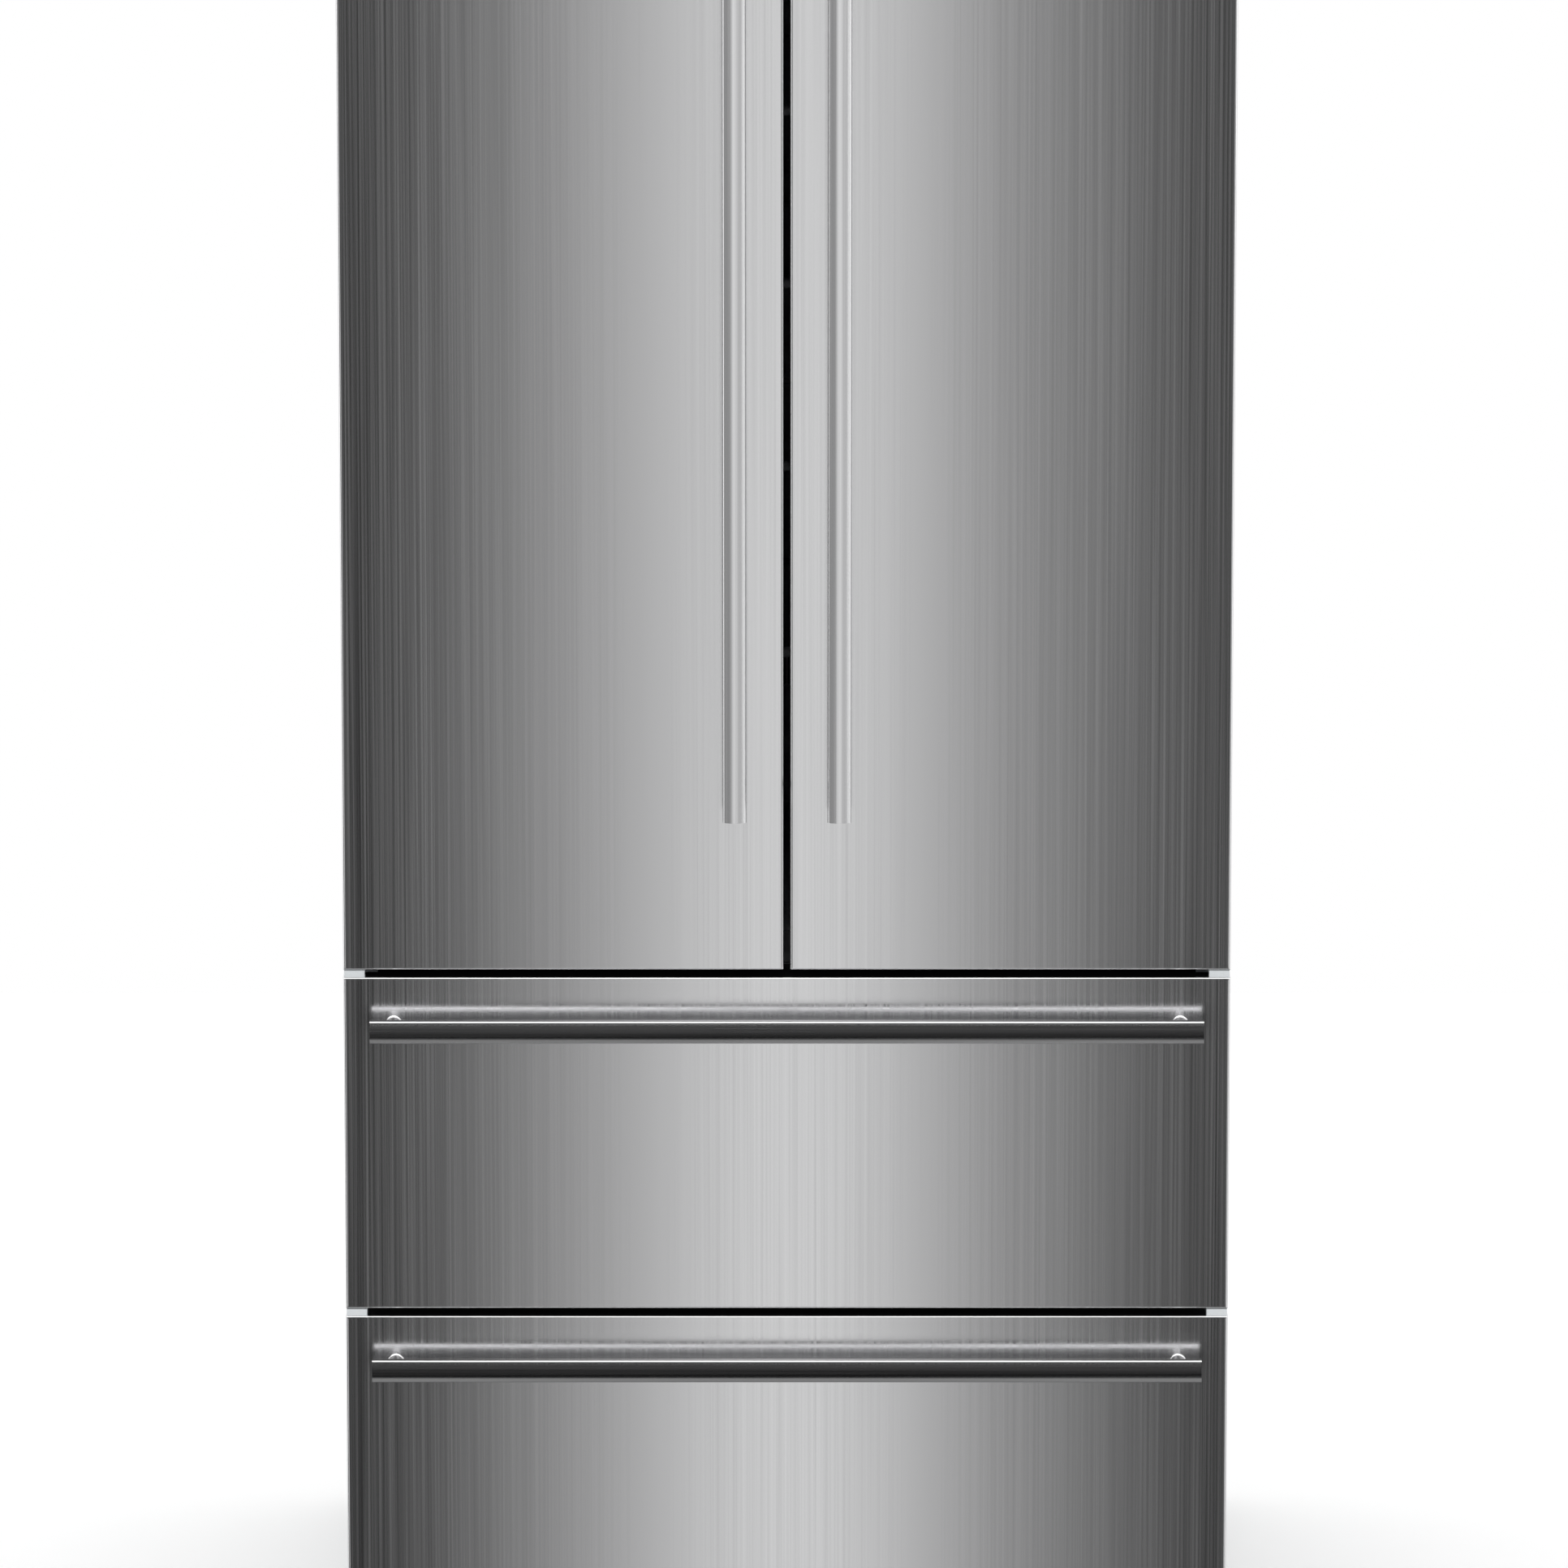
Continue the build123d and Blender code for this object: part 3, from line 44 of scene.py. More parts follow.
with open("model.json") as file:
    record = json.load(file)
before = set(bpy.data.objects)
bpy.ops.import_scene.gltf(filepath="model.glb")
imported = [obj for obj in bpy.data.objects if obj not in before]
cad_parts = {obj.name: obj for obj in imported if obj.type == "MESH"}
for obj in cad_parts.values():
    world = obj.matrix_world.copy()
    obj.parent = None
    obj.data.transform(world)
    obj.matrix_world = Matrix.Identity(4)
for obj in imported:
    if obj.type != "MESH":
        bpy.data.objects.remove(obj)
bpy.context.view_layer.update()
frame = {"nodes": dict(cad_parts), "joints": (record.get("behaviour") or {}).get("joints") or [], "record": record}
MM = 0.001
WHITE = (1, 1, 1, 1)
NODES = frame["nodes"]
SIDES = ("left", "right")
DRAWERS = ("upper", "lower")
DOOR_SKINS = [f"{side}_door_skin" for side in SIDES]
DRAWER_SKINS = [f"{level}_drawer_skin" for level in DRAWERS]
FACE_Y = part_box("left_door_skin")[0].y
DOOR_FOOT_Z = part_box("left_door_skin")[0].z


# ------------------------------------------------------------------ helpers
def linear(hex_colour):
    """An sRGB hex colour as linear RGB."""
    channels = [int(hex_colour[i:i + 2], 16) / 255 for i in (1, 3, 5)]
    return tuple(c / 12.92 if c <= 0.04045 else ((c + 0.055) / 1.055) ** 2.4 for c in channels)


def shade(colour, share):
    """A linear colour made darker (below one) or lighter, as RGBA."""
    return tuple(min(1.0, c * share) for c in colour) + (1.0,)


def add(tree, kind, values=None, links=None, **settings):
    """Adds one node with its settings, its socket values and the links into it."""
    node = tree.nodes.new(kind)
    for name, value in settings.items():
        setattr(node, name, value)
    for name, value in (values or {}).items():
        node.inputs[name].default_value = value
    for name, socket in (links or {}).items():
        tree.links.new(socket, node.inputs[name])
    return node


def start(name, **shader_values):
    """A new material with a Principled shader going to its output."""
    material = bpy.data.materials.new(name)
    material.use_nodes = True
    tree = material.node_tree
    tree.nodes.clear()
    shader = add(tree, "ShaderNodeBsdfPrincipled", {k.replace("_", " "): v for k, v in shader_values.items()})
    add(tree, "ShaderNodeOutputMaterial", links={"Surface": shader.outputs["BSDF"]})
    return material, tree, shader


def noise(tree, scale, detail=2.0):
    """Noise on Object coordinates; scale is the feature size along each axis, in metres."""
    coordinates = add(tree, "ShaderNodeTexCoord")
    mapping = add(tree, "ShaderNodeMapping", {"Scale": [1 / size for size in scale]},
                  {"Vector": coordinates.outputs["Object"]})
    return add(tree, "ShaderNodeTexNoise", {"Scale": 1.0, "Detail": detail, "Roughness": 0.6},
               {"Vector": mapping.outputs["Vector"]}).outputs["Fac"]


# Most of a pattern's values lie between these two.
PATTERN = {"From Min": 0.3, "From Max": 0.7}


def vary(tree, shader, socket, factor, low, high):
    """Drives one number of the shader by a pattern, from low to high."""
    spread = add(tree, "ShaderNodeMapRange", {**PATTERN, "To Min": low, "To Max": high}, {"Value": factor})
    tree.links.new(spread.outputs["Result"], shader.inputs[socket])


def tint(tree, shader, factor, dark, light):
    """Blends two colours by a pattern into the base colour."""
    spread = add(tree, "ShaderNodeMapRange", PATTERN, {"Value": factor})
    mixed = add(tree, "ShaderNodeMix", links={"Factor": spread.outputs["Result"]}, data_type="RGBA")
    mixed.inputs["A"].default_value = dark
    mixed.inputs["B"].default_value = light
    tree.links.new(mixed.outputs["Result"], shader.inputs["Base Color"])


def emboss(tree, shader, height, strength, depth):
    """Turns a pattern into relief."""
    bump = add(tree, "ShaderNodeBump", {"Strength": strength, "Distance": depth}, {"Height": height})
    tree.links.new(bump.outputs["Normal"], shader.inputs["Normal"])


# Width and length of brushed lines. Real grit lines are 0.1 mm wide; these are wider, so that they show.
SCRATCH = (1.6 * MM, 700 * MM)
STREAK = (4 * MM, 1800 * MM)
STREAK_SHARE = 0.22


def brushed_stainless(name, along, colour, roughness, contrast, spread):
    """Number 4 brushed stainless: straight parallel scratches under a clear, streaked reflection."""
    material, tree, shader = start(name, Metallic=1.0)
    scratch, streak = [noise(tree, [length if axis == along else width for axis in "XYZ"], detail)
                       for (width, length), detail in ((SCRATCH, 2.0), (STREAK, 1.0))]
    both = add(tree, "ShaderNodeMix", {"Factor": STREAK_SHARE}, {"A": scratch, "B": streak},
               data_type="FLOAT")
    pattern = both.outputs["Result"]
    tint(tree, shader, pattern, shade(colour, 1 - contrast), shade(colour, 1.0))
    vary(tree, shader, "Roughness", pattern, roughness - spread, roughness + spread)
    emboss(tree, shader, scratch, strength=0.06, depth=0.01 * MM)
    return material


SHEEN_SPREAD = 0.05


def plastic(name, colour, roughness, grain, depth, contrast=0.08, **values):
    """A moulded, painted or rubbery surface: one colour broken by a fine grain that softens the shine."""
    material, tree, shader = start(name, **values)
    pattern = noise(tree, [grain] * 3)
    tint(tree, shader, pattern, shade(colour, 1 - contrast), shade(colour, 1.0))
    vary(tree, shader, "Roughness", pattern, roughness - SHEEN_SPREAD, roughness + SHEEN_SPREAD)
    emboss(tree, shader, pattern, strength=0.3, depth=depth)
    return material


CRYSTAL_SHADE = 0.88
CRYSTAL_ROUGHNESS = (0.38, 0.52)


def spangled_metal(name, colour, crystal):
    """Dull grey metal in small patches of zinc crystal or oxide, each reflecting a little differently."""
    material, tree, shader = start(name, Metallic=1.0)
    coordinates = add(tree, "ShaderNodeTexCoord")
    cells = add(tree, "ShaderNodeTexVoronoi", {"Scale": 1 / crystal},
                {"Vector": coordinates.outputs["Object"]})
    grey = add(tree, "ShaderNodeRGBToBW", links={"Color": cells.outputs["Color"]}).outputs["Val"]
    tint(tree, shader, grey, shade(colour, CRYSTAL_SHADE), shade(colour, 1.0))
    vary(tree, shader, "Roughness", grey, *CRYSTAL_ROUGHNESS)
    return material


def dress(names, material):
    """Gives carried-over CAD nodes their finish."""
    for name in names:
        mesh = NODES[name].data
        mesh.materials.clear()
        mesh.materials.append(material)


def ending(*words):
    """Names of the CAD nodes that end in one of the words."""
    return [name for name in NODES if name.endswith(words)]


def body_of(node):
    """The moving body that carries a CAD node."""
    return next(body for body, nodes in frame["record"]["behaviour"]["bodies"].items() if node in nodes)


def round_edges(shape, edges, size, segments):
    """Rounds the given edges to a radius."""
    bmesh.ops.bevel(shape, geom=list(edges), offset=size, offset_type="OFFSET", segments=segments,
                    profile=0.5, affect="EDGES", material=-1, clamp_overlap=True)


CREASE = math.radians(32)


def new_object(name, shape, material):
    """A mesh object from a bmesh, smooth except along its creases."""
    mesh = bpy.data.meshes.new(name)
    shape.to_mesh(mesh)
    shape.free()
    mesh.shade_smooth()
    mesh.set_sharp_from_angle(angle=CREASE)
    mesh.materials.append(material)
    piece = bpy.data.objects.new(name, mesh)
    bpy.context.scene.collection.objects.link(piece)
    return piece


def stand_for(name, shape, material, node, wall=0.0):
    """A finished piece that takes the place of one CAD node and moves with its body."""
    piece = new_object(name, shape, material)
    if wall:
        shell = piece.modifiers.new("wall", "SOLIDIFY")
        shell.thickness = wall
        shell.offset = -1
    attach(piece, body_of(node))
    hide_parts(node)
    return piece


NEARLY_ALONG = 0.7


def cuboid(shape, low, high):
    """Adds a box between two corners and returns its vertices."""
    made = bmesh.ops.create_cube(shape, size=1)["verts"]
    bmesh.ops.scale(shape, vec=Vector(high) - Vector(low), verts=made)
    bmesh.ops.translate(shape, vec=(Vector(high) + Vector(low)) / 2, verts=made)
    return made


def edges_along(verts, *axes):
    """Edges of the given vertices that run nearly along one of the axes ("x", "y" or "z")."""
    found = {edge for vert in verts for edge in vert.link_edges}
    ways = [(edge, (edge.verts[0].co - edge.verts[1].co).normalized()) for edge in found]
    return [edge for edge, way in ways if any(abs(getattr(way, axis)) > NEARLY_ALONG for axis in axes)]


def place(shape, verts, turn, to):
    """Turns vertices about the origin, then moves them."""
    bmesh.ops.transform(shape, matrix=Matrix.Translation(to) @ turn.to_4x4(), verts=verts)


WELD = 0.01 * MM


def turned(shape, profile, steps=40):
    """Turns a profile of (radius, height) points about Z and returns the new vertices."""
    points = [shape.verts.new((radius, 0, height)) for radius, height in profile]
    rail = [shape.edges.new(pair) for pair in zip(points, points[1:])]
    bmesh.ops.spin(shape, geom=points + rail, cent=(0, 0, 0), axis=(0, 0, 1), dvec=(0, 0, 0),
                   angle=math.tau, steps=steps, use_merge=True, use_duplicate=False)
    linked = set(points)
    fresh = set(points)
    while fresh:
        fresh = {other for vert in fresh for edge in vert.link_edges for other in edge.verts} - linked
        linked |= fresh
    kept = [vert for vert in linked if vert.is_valid]
    merged = bmesh.ops.find_doubles(shape, verts=kept, dist=WELD)["targetmap"]
    bmesh.ops.weld_verts(shape, targetmap=merged)
    kept = [vert for vert in kept if vert.is_valid]
    bmesh.ops.recalc_face_normals(shape, faces=list({face for vert in kept for face in vert.link_faces}))
    return kept


# ------------------------------------------------------------------ handles
GRIP_WIDTH = 22 * MM
GRIP_DEPTH = 17 * MM       # with its crown
GRIP_CROWN = 3.5 * MM
GRIP_EDGE = 3 * MM
GRIP_BACK_EDGE = 9.5 * MM
GRIP_RIM = 0.5 * MM
CROWN_STEPS = 14
POST_RADIUS = 6.5 * MM
POST_INSET = 21.5 * MM     # from the bar's end to the post's middle
POST_SINK = 1 * MM         # into the bar
POST_FLARE = 1.6 * MM
FLARE_WAIST = (0.5 * MM, 0.7 * MM)
QUARTER = math.radians(90)


def crowned_bar(shape, length):
    """A bar along Z, flat behind and gently crowned in front (towards -Y), back face at y = 0."""
    half = GRIP_WIDTH / 2
    radius = (half ** 2 + GRIP_CROWN ** 2) / (2 * GRIP_CROWN)
    spread = math.asin(half / radius)
    centre = Vector((0, radius - GRIP_DEPTH, 0))
    first = shape.verts.new(centre - radius * Vector((math.sin(spread), math.cos(spread), 0)))
    bmesh.ops.spin(shape, geom=[first], cent=centre, axis=(0, 0, 1), dvec=(0, 0, 0), angle=2 * spread,
                   steps=CROWN_STEPS, use_merge=False, use_duplicate=False)
    ends = [vert for vert in shape.verts if len(vert.link_edges) == 1]
    left, right = sorted(ends, key=lambda vert: vert.co.x)
    back_left, back_right = [shape.verts.new((end.co.x, 0, 0)) for end in (left, right)]
    for pair in ((left, back_left), (back_left, back_right), (back_right, right)):
        shape.edges.new(pair)
    section = bmesh.ops.contextual_create(shape, geom=shape.edges)["faces"]
    bmesh.ops.translate(shape, vec=(0, 0, -length / 2), verts=shape.verts)
    grown = bmesh.ops.extrude_face_region(shape, geom=section)["geom"]
    far_end = [item for item in grown if isinstance(item, bmesh.types.BMVert)]
    bmesh.ops.translate(shape, vec=(0, 0, length), verts=far_end)
    bmesh.ops.recalc_face_normals(shape, faces=shape.faces)
    for behind, size, segments in ((False, GRIP_EDGE, 4), (True, GRIP_BACK_EDGE, 6)):
        corners = [edge for edge in shape.edges
                   if abs(edge.verts[0].co.z - edge.verts[1].co.z) > length / 2
                   and edge.calc_face_angle(0) > math.radians(40)
                   and (edge.verts[0].co.y > -GRIP_EDGE) == behind]
        round_edges(shape, corners, size, segments)
    rims = [edge for edge in shape.edges if edge.calc_face_angle(0) > math.radians(80)]
    round_edges(shape, rims, GRIP_RIM, 2)


def handle_post(shape, gap, middle_z):
    """One post, from inside the bar to the front's skin, flared at its foot."""
    waist_out, waist_up = FLARE_WAIST
    made = turned(shape, [(0, -POST_SINK), (POST_RADIUS, -POST_SINK), (POST_RADIUS, gap - POST_FLARE),
                          (POST_RADIUS + waist_out, gap - waist_up), (POST_RADIUS + POST_FLARE, gap),
                          (0, gap)])
    place(shape, made, Matrix.Rotation(-QUARTER, 3, "X"), (0, 0, middle_z))


def handle(node, upright, material):
    """Bar handle on two round posts, taking its length and place from the CAD node."""
    low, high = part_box(node)
    shape = bmesh.new()
    length = (high.z - low.z) if upright else (high.x - low.x)
    crowned_bar(shape, length)
    gap = high.y - low.y - GRIP_DEPTH
    for end in (-1, 1):
        handle_post(shape, gap, end * (length / 2 - POST_INSET))
    turn = Matrix.Identity(3) if upright else Matrix.Rotation(QUARTER, 3, "Y")
    middle = (low + high) / 2
    place(shape, shape.verts, turn, (middle.x, low.y + GRIP_DEPTH, middle.z))
    return stand_for(f"{node}_bar", shape, material, node)


# ------------------------------------------------------------------ seals, tubs, bins
FOLD_PINCH = 0.74          # share of the seal's width left at the foot of a rib


def bellows_frame(low, high, width, folds):
    """A mitred rectangular ring with a ribbed bellows section."""
    shape = bmesh.new()
    depth = high.y - low.y
    middle_y = (high.y + low.y) / 2
    loops = []
    for sign_x, sign_z in ((-1, -1), (1, -1), (1, 1), (-1, 1)):
        corner_x = (low.x + width / 2) if sign_x < 0 else (high.x - width / 2)
        corner_z = (low.z + width / 2) if sign_z < 0 else (high.z - width / 2)
        ring = bmesh.ops.create_circle(shape, cap_ends=False, radius=1, segments=4 * folds)["verts"]
        for index, vert in enumerate(ring):
            across, deep = vert.co.x, vert.co.y
            pinch = FOLD_PINCH if index % 2 else 1.0
            reach = max(abs(across), abs(deep))
            across, deep = across / reach * pinch * width / 2, deep / reach * depth / 2
            vert.co = (corner_x + sign_x * across, middle_y + deep, corner_z + sign_z * across)
        loops.append({edge for vert in ring for edge in vert.link_edges})
    for first, second in zip(loops, loops[1:] + loops[:1]):
        bmesh.ops.bridge_loops(shape, edges=list(first | second))
    bmesh.ops.recalc_face_normals(shape, faces=shape.faces)
    return shape


FOOT_SHARE = 0.45          # a tub's foot radius as a share of its corner radius


def tub(shape, low, high, corner, draft, rim):
    """Adds an open moulded tub: rounded corners, drafted walls and a turned-down rim."""
    reach, drop = rim
    inset = Vector((reach, reach, 0))
    size, middle = high - low - 2 * inset, (low + high) / 2
    verts = cuboid(shape, low + inset, high - inset)
    earlier = set(shape.verts) - set(verts)
    sides = {face for vert in verts for face in vert.link_faces}
    top = max(sides, key=lambda face: face.calc_center_median().z)
    bmesh.ops.delete(shape, geom=[top], context="FACES_ONLY")
    base = [vert for vert in verts if vert.co.z < middle.z]
    bmesh.ops.scale(shape, vec=(1 - draft, 1 - draft, 1), verts=base, space=Matrix.Translation(-middle))
    round_edges(shape, edges_along(verts, "z"), corner, 5)
    verts = [vert for vert in shape.verts if vert not in earlier]
    floor_z = min(vert.co.z for vert in verts)
    foot = [edge for edge in shape.edges if edge.verts[0] in verts and len(edge.link_faces) == 2
            and all(abs(vert.co.z - floor_z) < MM for vert in edge.verts)]
    round_edges(shape, foot, corner * FOOT_SHARE, 3)
    lip = [edge for edge in shape.edges if edge.is_boundary and edge.verts[0] not in earlier]
    outwards = (1 + 2 * reach / size.x, 1 + 2 * reach / size.y, 1)
    for grow, fall in ((outwards, 0), (None, -drop)):
        grown = bmesh.ops.extrude_edge_only(shape, edges=lip)["geom"]
        fresh = [item for item in grown if isinstance(item, bmesh.types.BMVert)]
        if grow:
            bmesh.ops.scale(shape, vec=grow, verts=fresh, space=Matrix.Translation(-middle))
        bmesh.ops.translate(shape, vec=(0, 0, fall), verts=fresh)
        lip = [item for item in grown if isinstance(item, bmesh.types.BMEdge)]


# ------------------------------------------------------------------ stage
# Reflected brightness across the fronts: (x in m, strength).
FRONT_GLOW_X = ((-1.6, 0.62), (-0.9, 0.62), (-0.68, 0.22), (-0.56, 0.02), (-0.50, 0.005), (-0.44, 0.008),
                (-0.38, 0.07), (-0.32, 0.185), (-0.24, 0.325), (-0.16, 0.52), (-0.08, 0.79), (-0.03, 0.91),
                (0.03, 0.90), (0.10, 0.76), (0.18, 0.42), (0.26, 0.28), (0.34, 0.175), (0.40, 0.08),
                (0.46, 0.01), (0.51, 0.005), (0.57, 0.02), (0.69, 0.22), (0.9, 0.62), (1.6, 0.62))
FRONT_GLOW_Z = ((-0.9, 1.0), (2.2, 1.0))
# Reflected brightness for everything else, across and with height: (m, strength), multiplied.
ROOM_GLOW_X = ((-16.0, 0.45), (-6.0, 0.6), (-2.2, 0.75), (-1.1, 0.48), (-0.65, 0.34), (-0.35, 0.66),
               (-0.12, 1.35), (0.15, 1.4), (0.45, 0.85), (0.8, 0.5), (1.4, 0.6), (2.6, 0.95), (8.0, 1.0))
ROOM_GLOW_Z = ((-7.2, 0.42), (-4.2, 0.52), (-1.5, 0.70), (0.8, 0.80), (3.0, 0.85), (4.2, 1.2), (8.8, 1.3))
# The same across the door grips, which catch a bright window on their right edges.
GRIP_GLOW_X = ((-16.0, 0.45), (-6.0, 0.5), (-3.2, 0.48), (-2.3, 0.5), (-1.7, 0.8), (-1.1, 1.2), (0.0, 1.3),
               (0.7, 1.25), (1.5, 1.1), (2.6, 0.85), (6.3, 0.9), (7.1, 2.2), (8.0, 2.4))
# The surround in glossy reflections, by a direction's z: the sky's rise, and more of it overhead.
SKY = {"From Min": -0.9, "From Max": 0.7, "To Min": 0.3, "To Max": 1.5}
OVERHEAD = {"From Min": 0.45, "From Max": 0.9, "To Min": 0.0, "To Max": 1.2}
# Windows far to either side, by a direction's x, and weaker behind, by its y.
BESIDE = {"From Min": 0.93, "From Max": 0.98, "To Min": 0.0, "To Max": 2.0}
AHEAD = {"From Min": 0.5, "From Max": 0.2, "To Min": 0.3, "To Max": 1.0}
SENSOR_WIDTH = 36


class REFRIGERATOR_OT_stage(bpy.types.Operator):
    """Camera, pale floor, white surround and soft light"""
    bl_idname = "refrigerator.stage"
    bl_label = "Build stage"

    def execute(self, context):
        studio = context.scene.refrigerator_studio
        scene = context.scene
        scene.view_settings.view_transform = "Standard"
        self.camera(scene, studio)
        self.surround(scene, studio)
        self.floor(studio)
        fronts = [NODES[name] for name in DOOR_SKINS + DRAWER_SKINS]
        grips = [bpy.data.objects[f"{side}_door_handle_bar"] for side in SIDES]
        others = [obj for obj in bpy.data.objects if obj.type == "MESH" and obj not in fronts + grips]
        near, far = FACE_Y - studio.panel_distance, FACE_Y - studio.room_distance
        self.panel("front_softbox", near, FRONT_GLOW_X, FRONT_GLOW_Z, fronts, True)
        self.panel("room_reflection", far, ROOM_GLOW_X, ROOM_GLOW_Z, others, False)
        self.panel("door_grip_reflection", far, GRIP_GLOW_X, ROOM_GLOW_Z, grips, False)
        return {"FINISHED"}

    def camera(self, scene, studio):
        data = bpy.data.cameras.new("studio_camera")
        data.lens = studio.lens
        data.sensor_width = SENSOR_WIDTH
        camera = bpy.data.objects.new("studio_camera", data)
        scene.collection.objects.link(camera)
        aim = Vector((studio.aim_x, FACE_Y, DOOR_FOOT_Z + studio.aim_rise))
        pitch = studio.pitch
        camera.location = aim + studio.distance * Vector((0, -math.cos(pitch), math.sin(pitch)))
        camera.rotation_euler = (QUARTER - pitch, 0, 0)
        scene.camera = camera

    def surround(self, scene, studio):
        """White to the eye, softer for light, and for gloss bright above and beside, dim low down."""
        world = bpy.data.worlds.new("studio_world")
        scene.world = world
        world.use_nodes = True
        tree = world.node_tree
        tree.nodes.clear()
        path = add(tree, "ShaderNodeLightPath")
        coordinates = add(tree, "ShaderNodeTexCoord")
        way = add(tree, "ShaderNodeSeparateXYZ", links={"Vector": coordinates.outputs["Generated"]})
        off = add(tree, "ShaderNodeMath", links={0: way.outputs["X"]}, operation="ABSOLUTE")
        sky, overhead, beside, ahead = [
            add(tree, "ShaderNodeMapRange", ramp, {"Value": socket}).outputs["Result"]
            for ramp, socket in ((SKY, way.outputs["Z"]), (OVERHEAD, way.outputs["Z"]),
                                 (BESIDE, off.outputs["Value"]), (AHEAD, way.outputs["Y"]))]
        above, flank = [
            add(tree, "ShaderNodeMath", links={0: first, 1: second}, operation=how).outputs["Value"]
            for first, second, how in ((sky, overhead, "ADD"), (beside, ahead, "MULTIPLY"))]
        glossy = add(tree, "ShaderNodeMath", links={0: above, 1: flank}, operation="MAXIMUM")
        seen, ambient = [add(tree, "ShaderNodeBackground", {"Color": WHITE, "Strength": strength})
                         for strength in (1.0, studio.ambient)]
        shine = add(tree, "ShaderNodeBackground", {"Color": WHITE}, {"Strength": glossy.outputs["Value"]})
        lit = add(tree, "ShaderNodeMixShader", links={0: path.outputs["Is Glossy Ray"],
                                                      1: ambient.outputs["Background"],
                                                      2: shine.outputs["Background"]})
        mix = add(tree, "ShaderNodeMixShader", links={0: path.outputs["Is Camera Ray"],
                                                      1: lit.outputs["Shader"],
                                                      2: seen.outputs["Background"]})
        add(tree, "ShaderNodeOutputWorld", links={"Surface": mix.outputs["Shader"]})

    def floor(self, studio):
        shape = bmesh.new()
        bmesh.ops.create_grid(shape, x_segments=8, y_segments=8, size=studio.floor_size / 2)
        # Vinyl studio roll: near white, matt, so faint that only the contact shadow reads.
        roll = plastic("white vinyl studio roll", linear("#FFFFFF"), 0.8, 30 * MM, 0.02 * MM, 0.01,
                       Emission_Color=WHITE, Emission_Strength=studio.floor_glow)
        floor = new_object("floor", shape, roll)
        floor.visible_glossy = False

    def panel(self, name, y, across, upwards, receivers, through):
        """An emissive sheet in front, seen only in the reflections of the objects it is linked to."""
        shape = bmesh.new()
        bmesh.ops.create_grid(shape, x_segments=1, y_segments=1, size=0.5)
        bmesh.ops.rotate(shape, cent=(0, 0, 0), matrix=Matrix.Rotation(QUARTER, 3, "X"), verts=shape.verts)
        low, high = [Vector((across[end][0], y, upwards[end][0])) for end in (0, -1)]
        size = high - low
        bmesh.ops.scale(shape, vec=(size.x, 1, size.z), verts=shape.verts)
        bmesh.ops.translate(shape, vec=(low + high) / 2, verts=shape.verts)
        sheet = new_object(name, shape, self.glow(name + " glow", across, upwards, through))
        sheet.visible_camera = False
        sheet.visible_shadow = False
        sheet.visible_diffuse = False
        group = bpy.data.collections.new(name + "_receivers")
        for obj in receivers:
            group.objects.link(obj)
        sheet.light_linking.receiver_collection = group

    def glow(self, name, across, upwards, through):
        """Light whose strength follows a curve along X times one along Z."""
        material = bpy.data.materials.new(name)
        material.use_nodes = True
        tree = material.node_tree
        tree.nodes.clear()
        coordinates = add(tree, "ShaderNodeTexCoord")
        axes = add(tree, "ShaderNodeSeparateXYZ", links={"Vector": coordinates.outputs["Object"]})
        strengths = {0: self.profile(tree, axes.outputs["X"], across),
                     1: self.profile(tree, axes.outputs["Z"], upwards)}
        strength = add(tree, "ShaderNodeMath", links=strengths, operation="MULTIPLY")
        light = add(tree, "ShaderNodeEmission", {"Color": WHITE}, {"Strength": strength.outputs["Value"]})
        if through:
            clear = add(tree, "ShaderNodeBsdfTransparent")
            light = add(tree, "ShaderNodeAddShader", links={0: light.outputs[0], 1: clear.outputs[0]})
        add(tree, "ShaderNodeOutputMaterial", links={"Surface": light.outputs[0]})
        return material

    def profile(self, tree, position, points):
        """A curve through (place in m, strength) points."""
        first, last = points[0][0], points[-1][0]
        share = add(tree, "ShaderNodeMapRange", {"From Min": first, "From Max": last}, {"Value": position})
        ramp = add(tree, "ShaderNodeFloatCurve", links={"Value": share.outputs["Result"]})
        ramp.mapping.use_clip = False
        curve = ramp.mapping.curves[0]
        given = len(curve.points)
        for index, (where, value) in enumerate(points):
            point = ((where - first) / (last - first), value)
            if index < given:
                curve.points[index].location = point
            else:
                curve.points.new(*point)
        ramp.mapping.update()
        return ramp.outputs["Value"]


# ------------------------------------------------------------------ pieces and finishes
class REFRIGERATOR_OT_fronts(bpy.types.Operator):
    """Brushed stainless skins of the doors and drawers, with their end caps"""
    bl_idname = "refrigerator.fronts"
    bl_label = "Finish fronts"

    def execute(self, context):
        finish = context.scene.refrigerator_finish
        steel = brushed_stainless("brushed stainless steel sheet", "Z", finish.stainless[:],
                                  finish.front_roughness, contrast=0.07, spread=0.06)
        dress(DOOR_SKINS + DRAWER_SKINS, steel)
        # Injection-moulded black ABS: dark, with a low sheen.
        dress(ending("end_caps"), plastic("black ABS end cap", linear("#101012"), 0.5, 0.9 * MM, 0.02 * MM))
        return {"FINISHED"}


BLOCK_SINK = 0.3 * MM
BLOCK_EDGE = 0.8 * MM


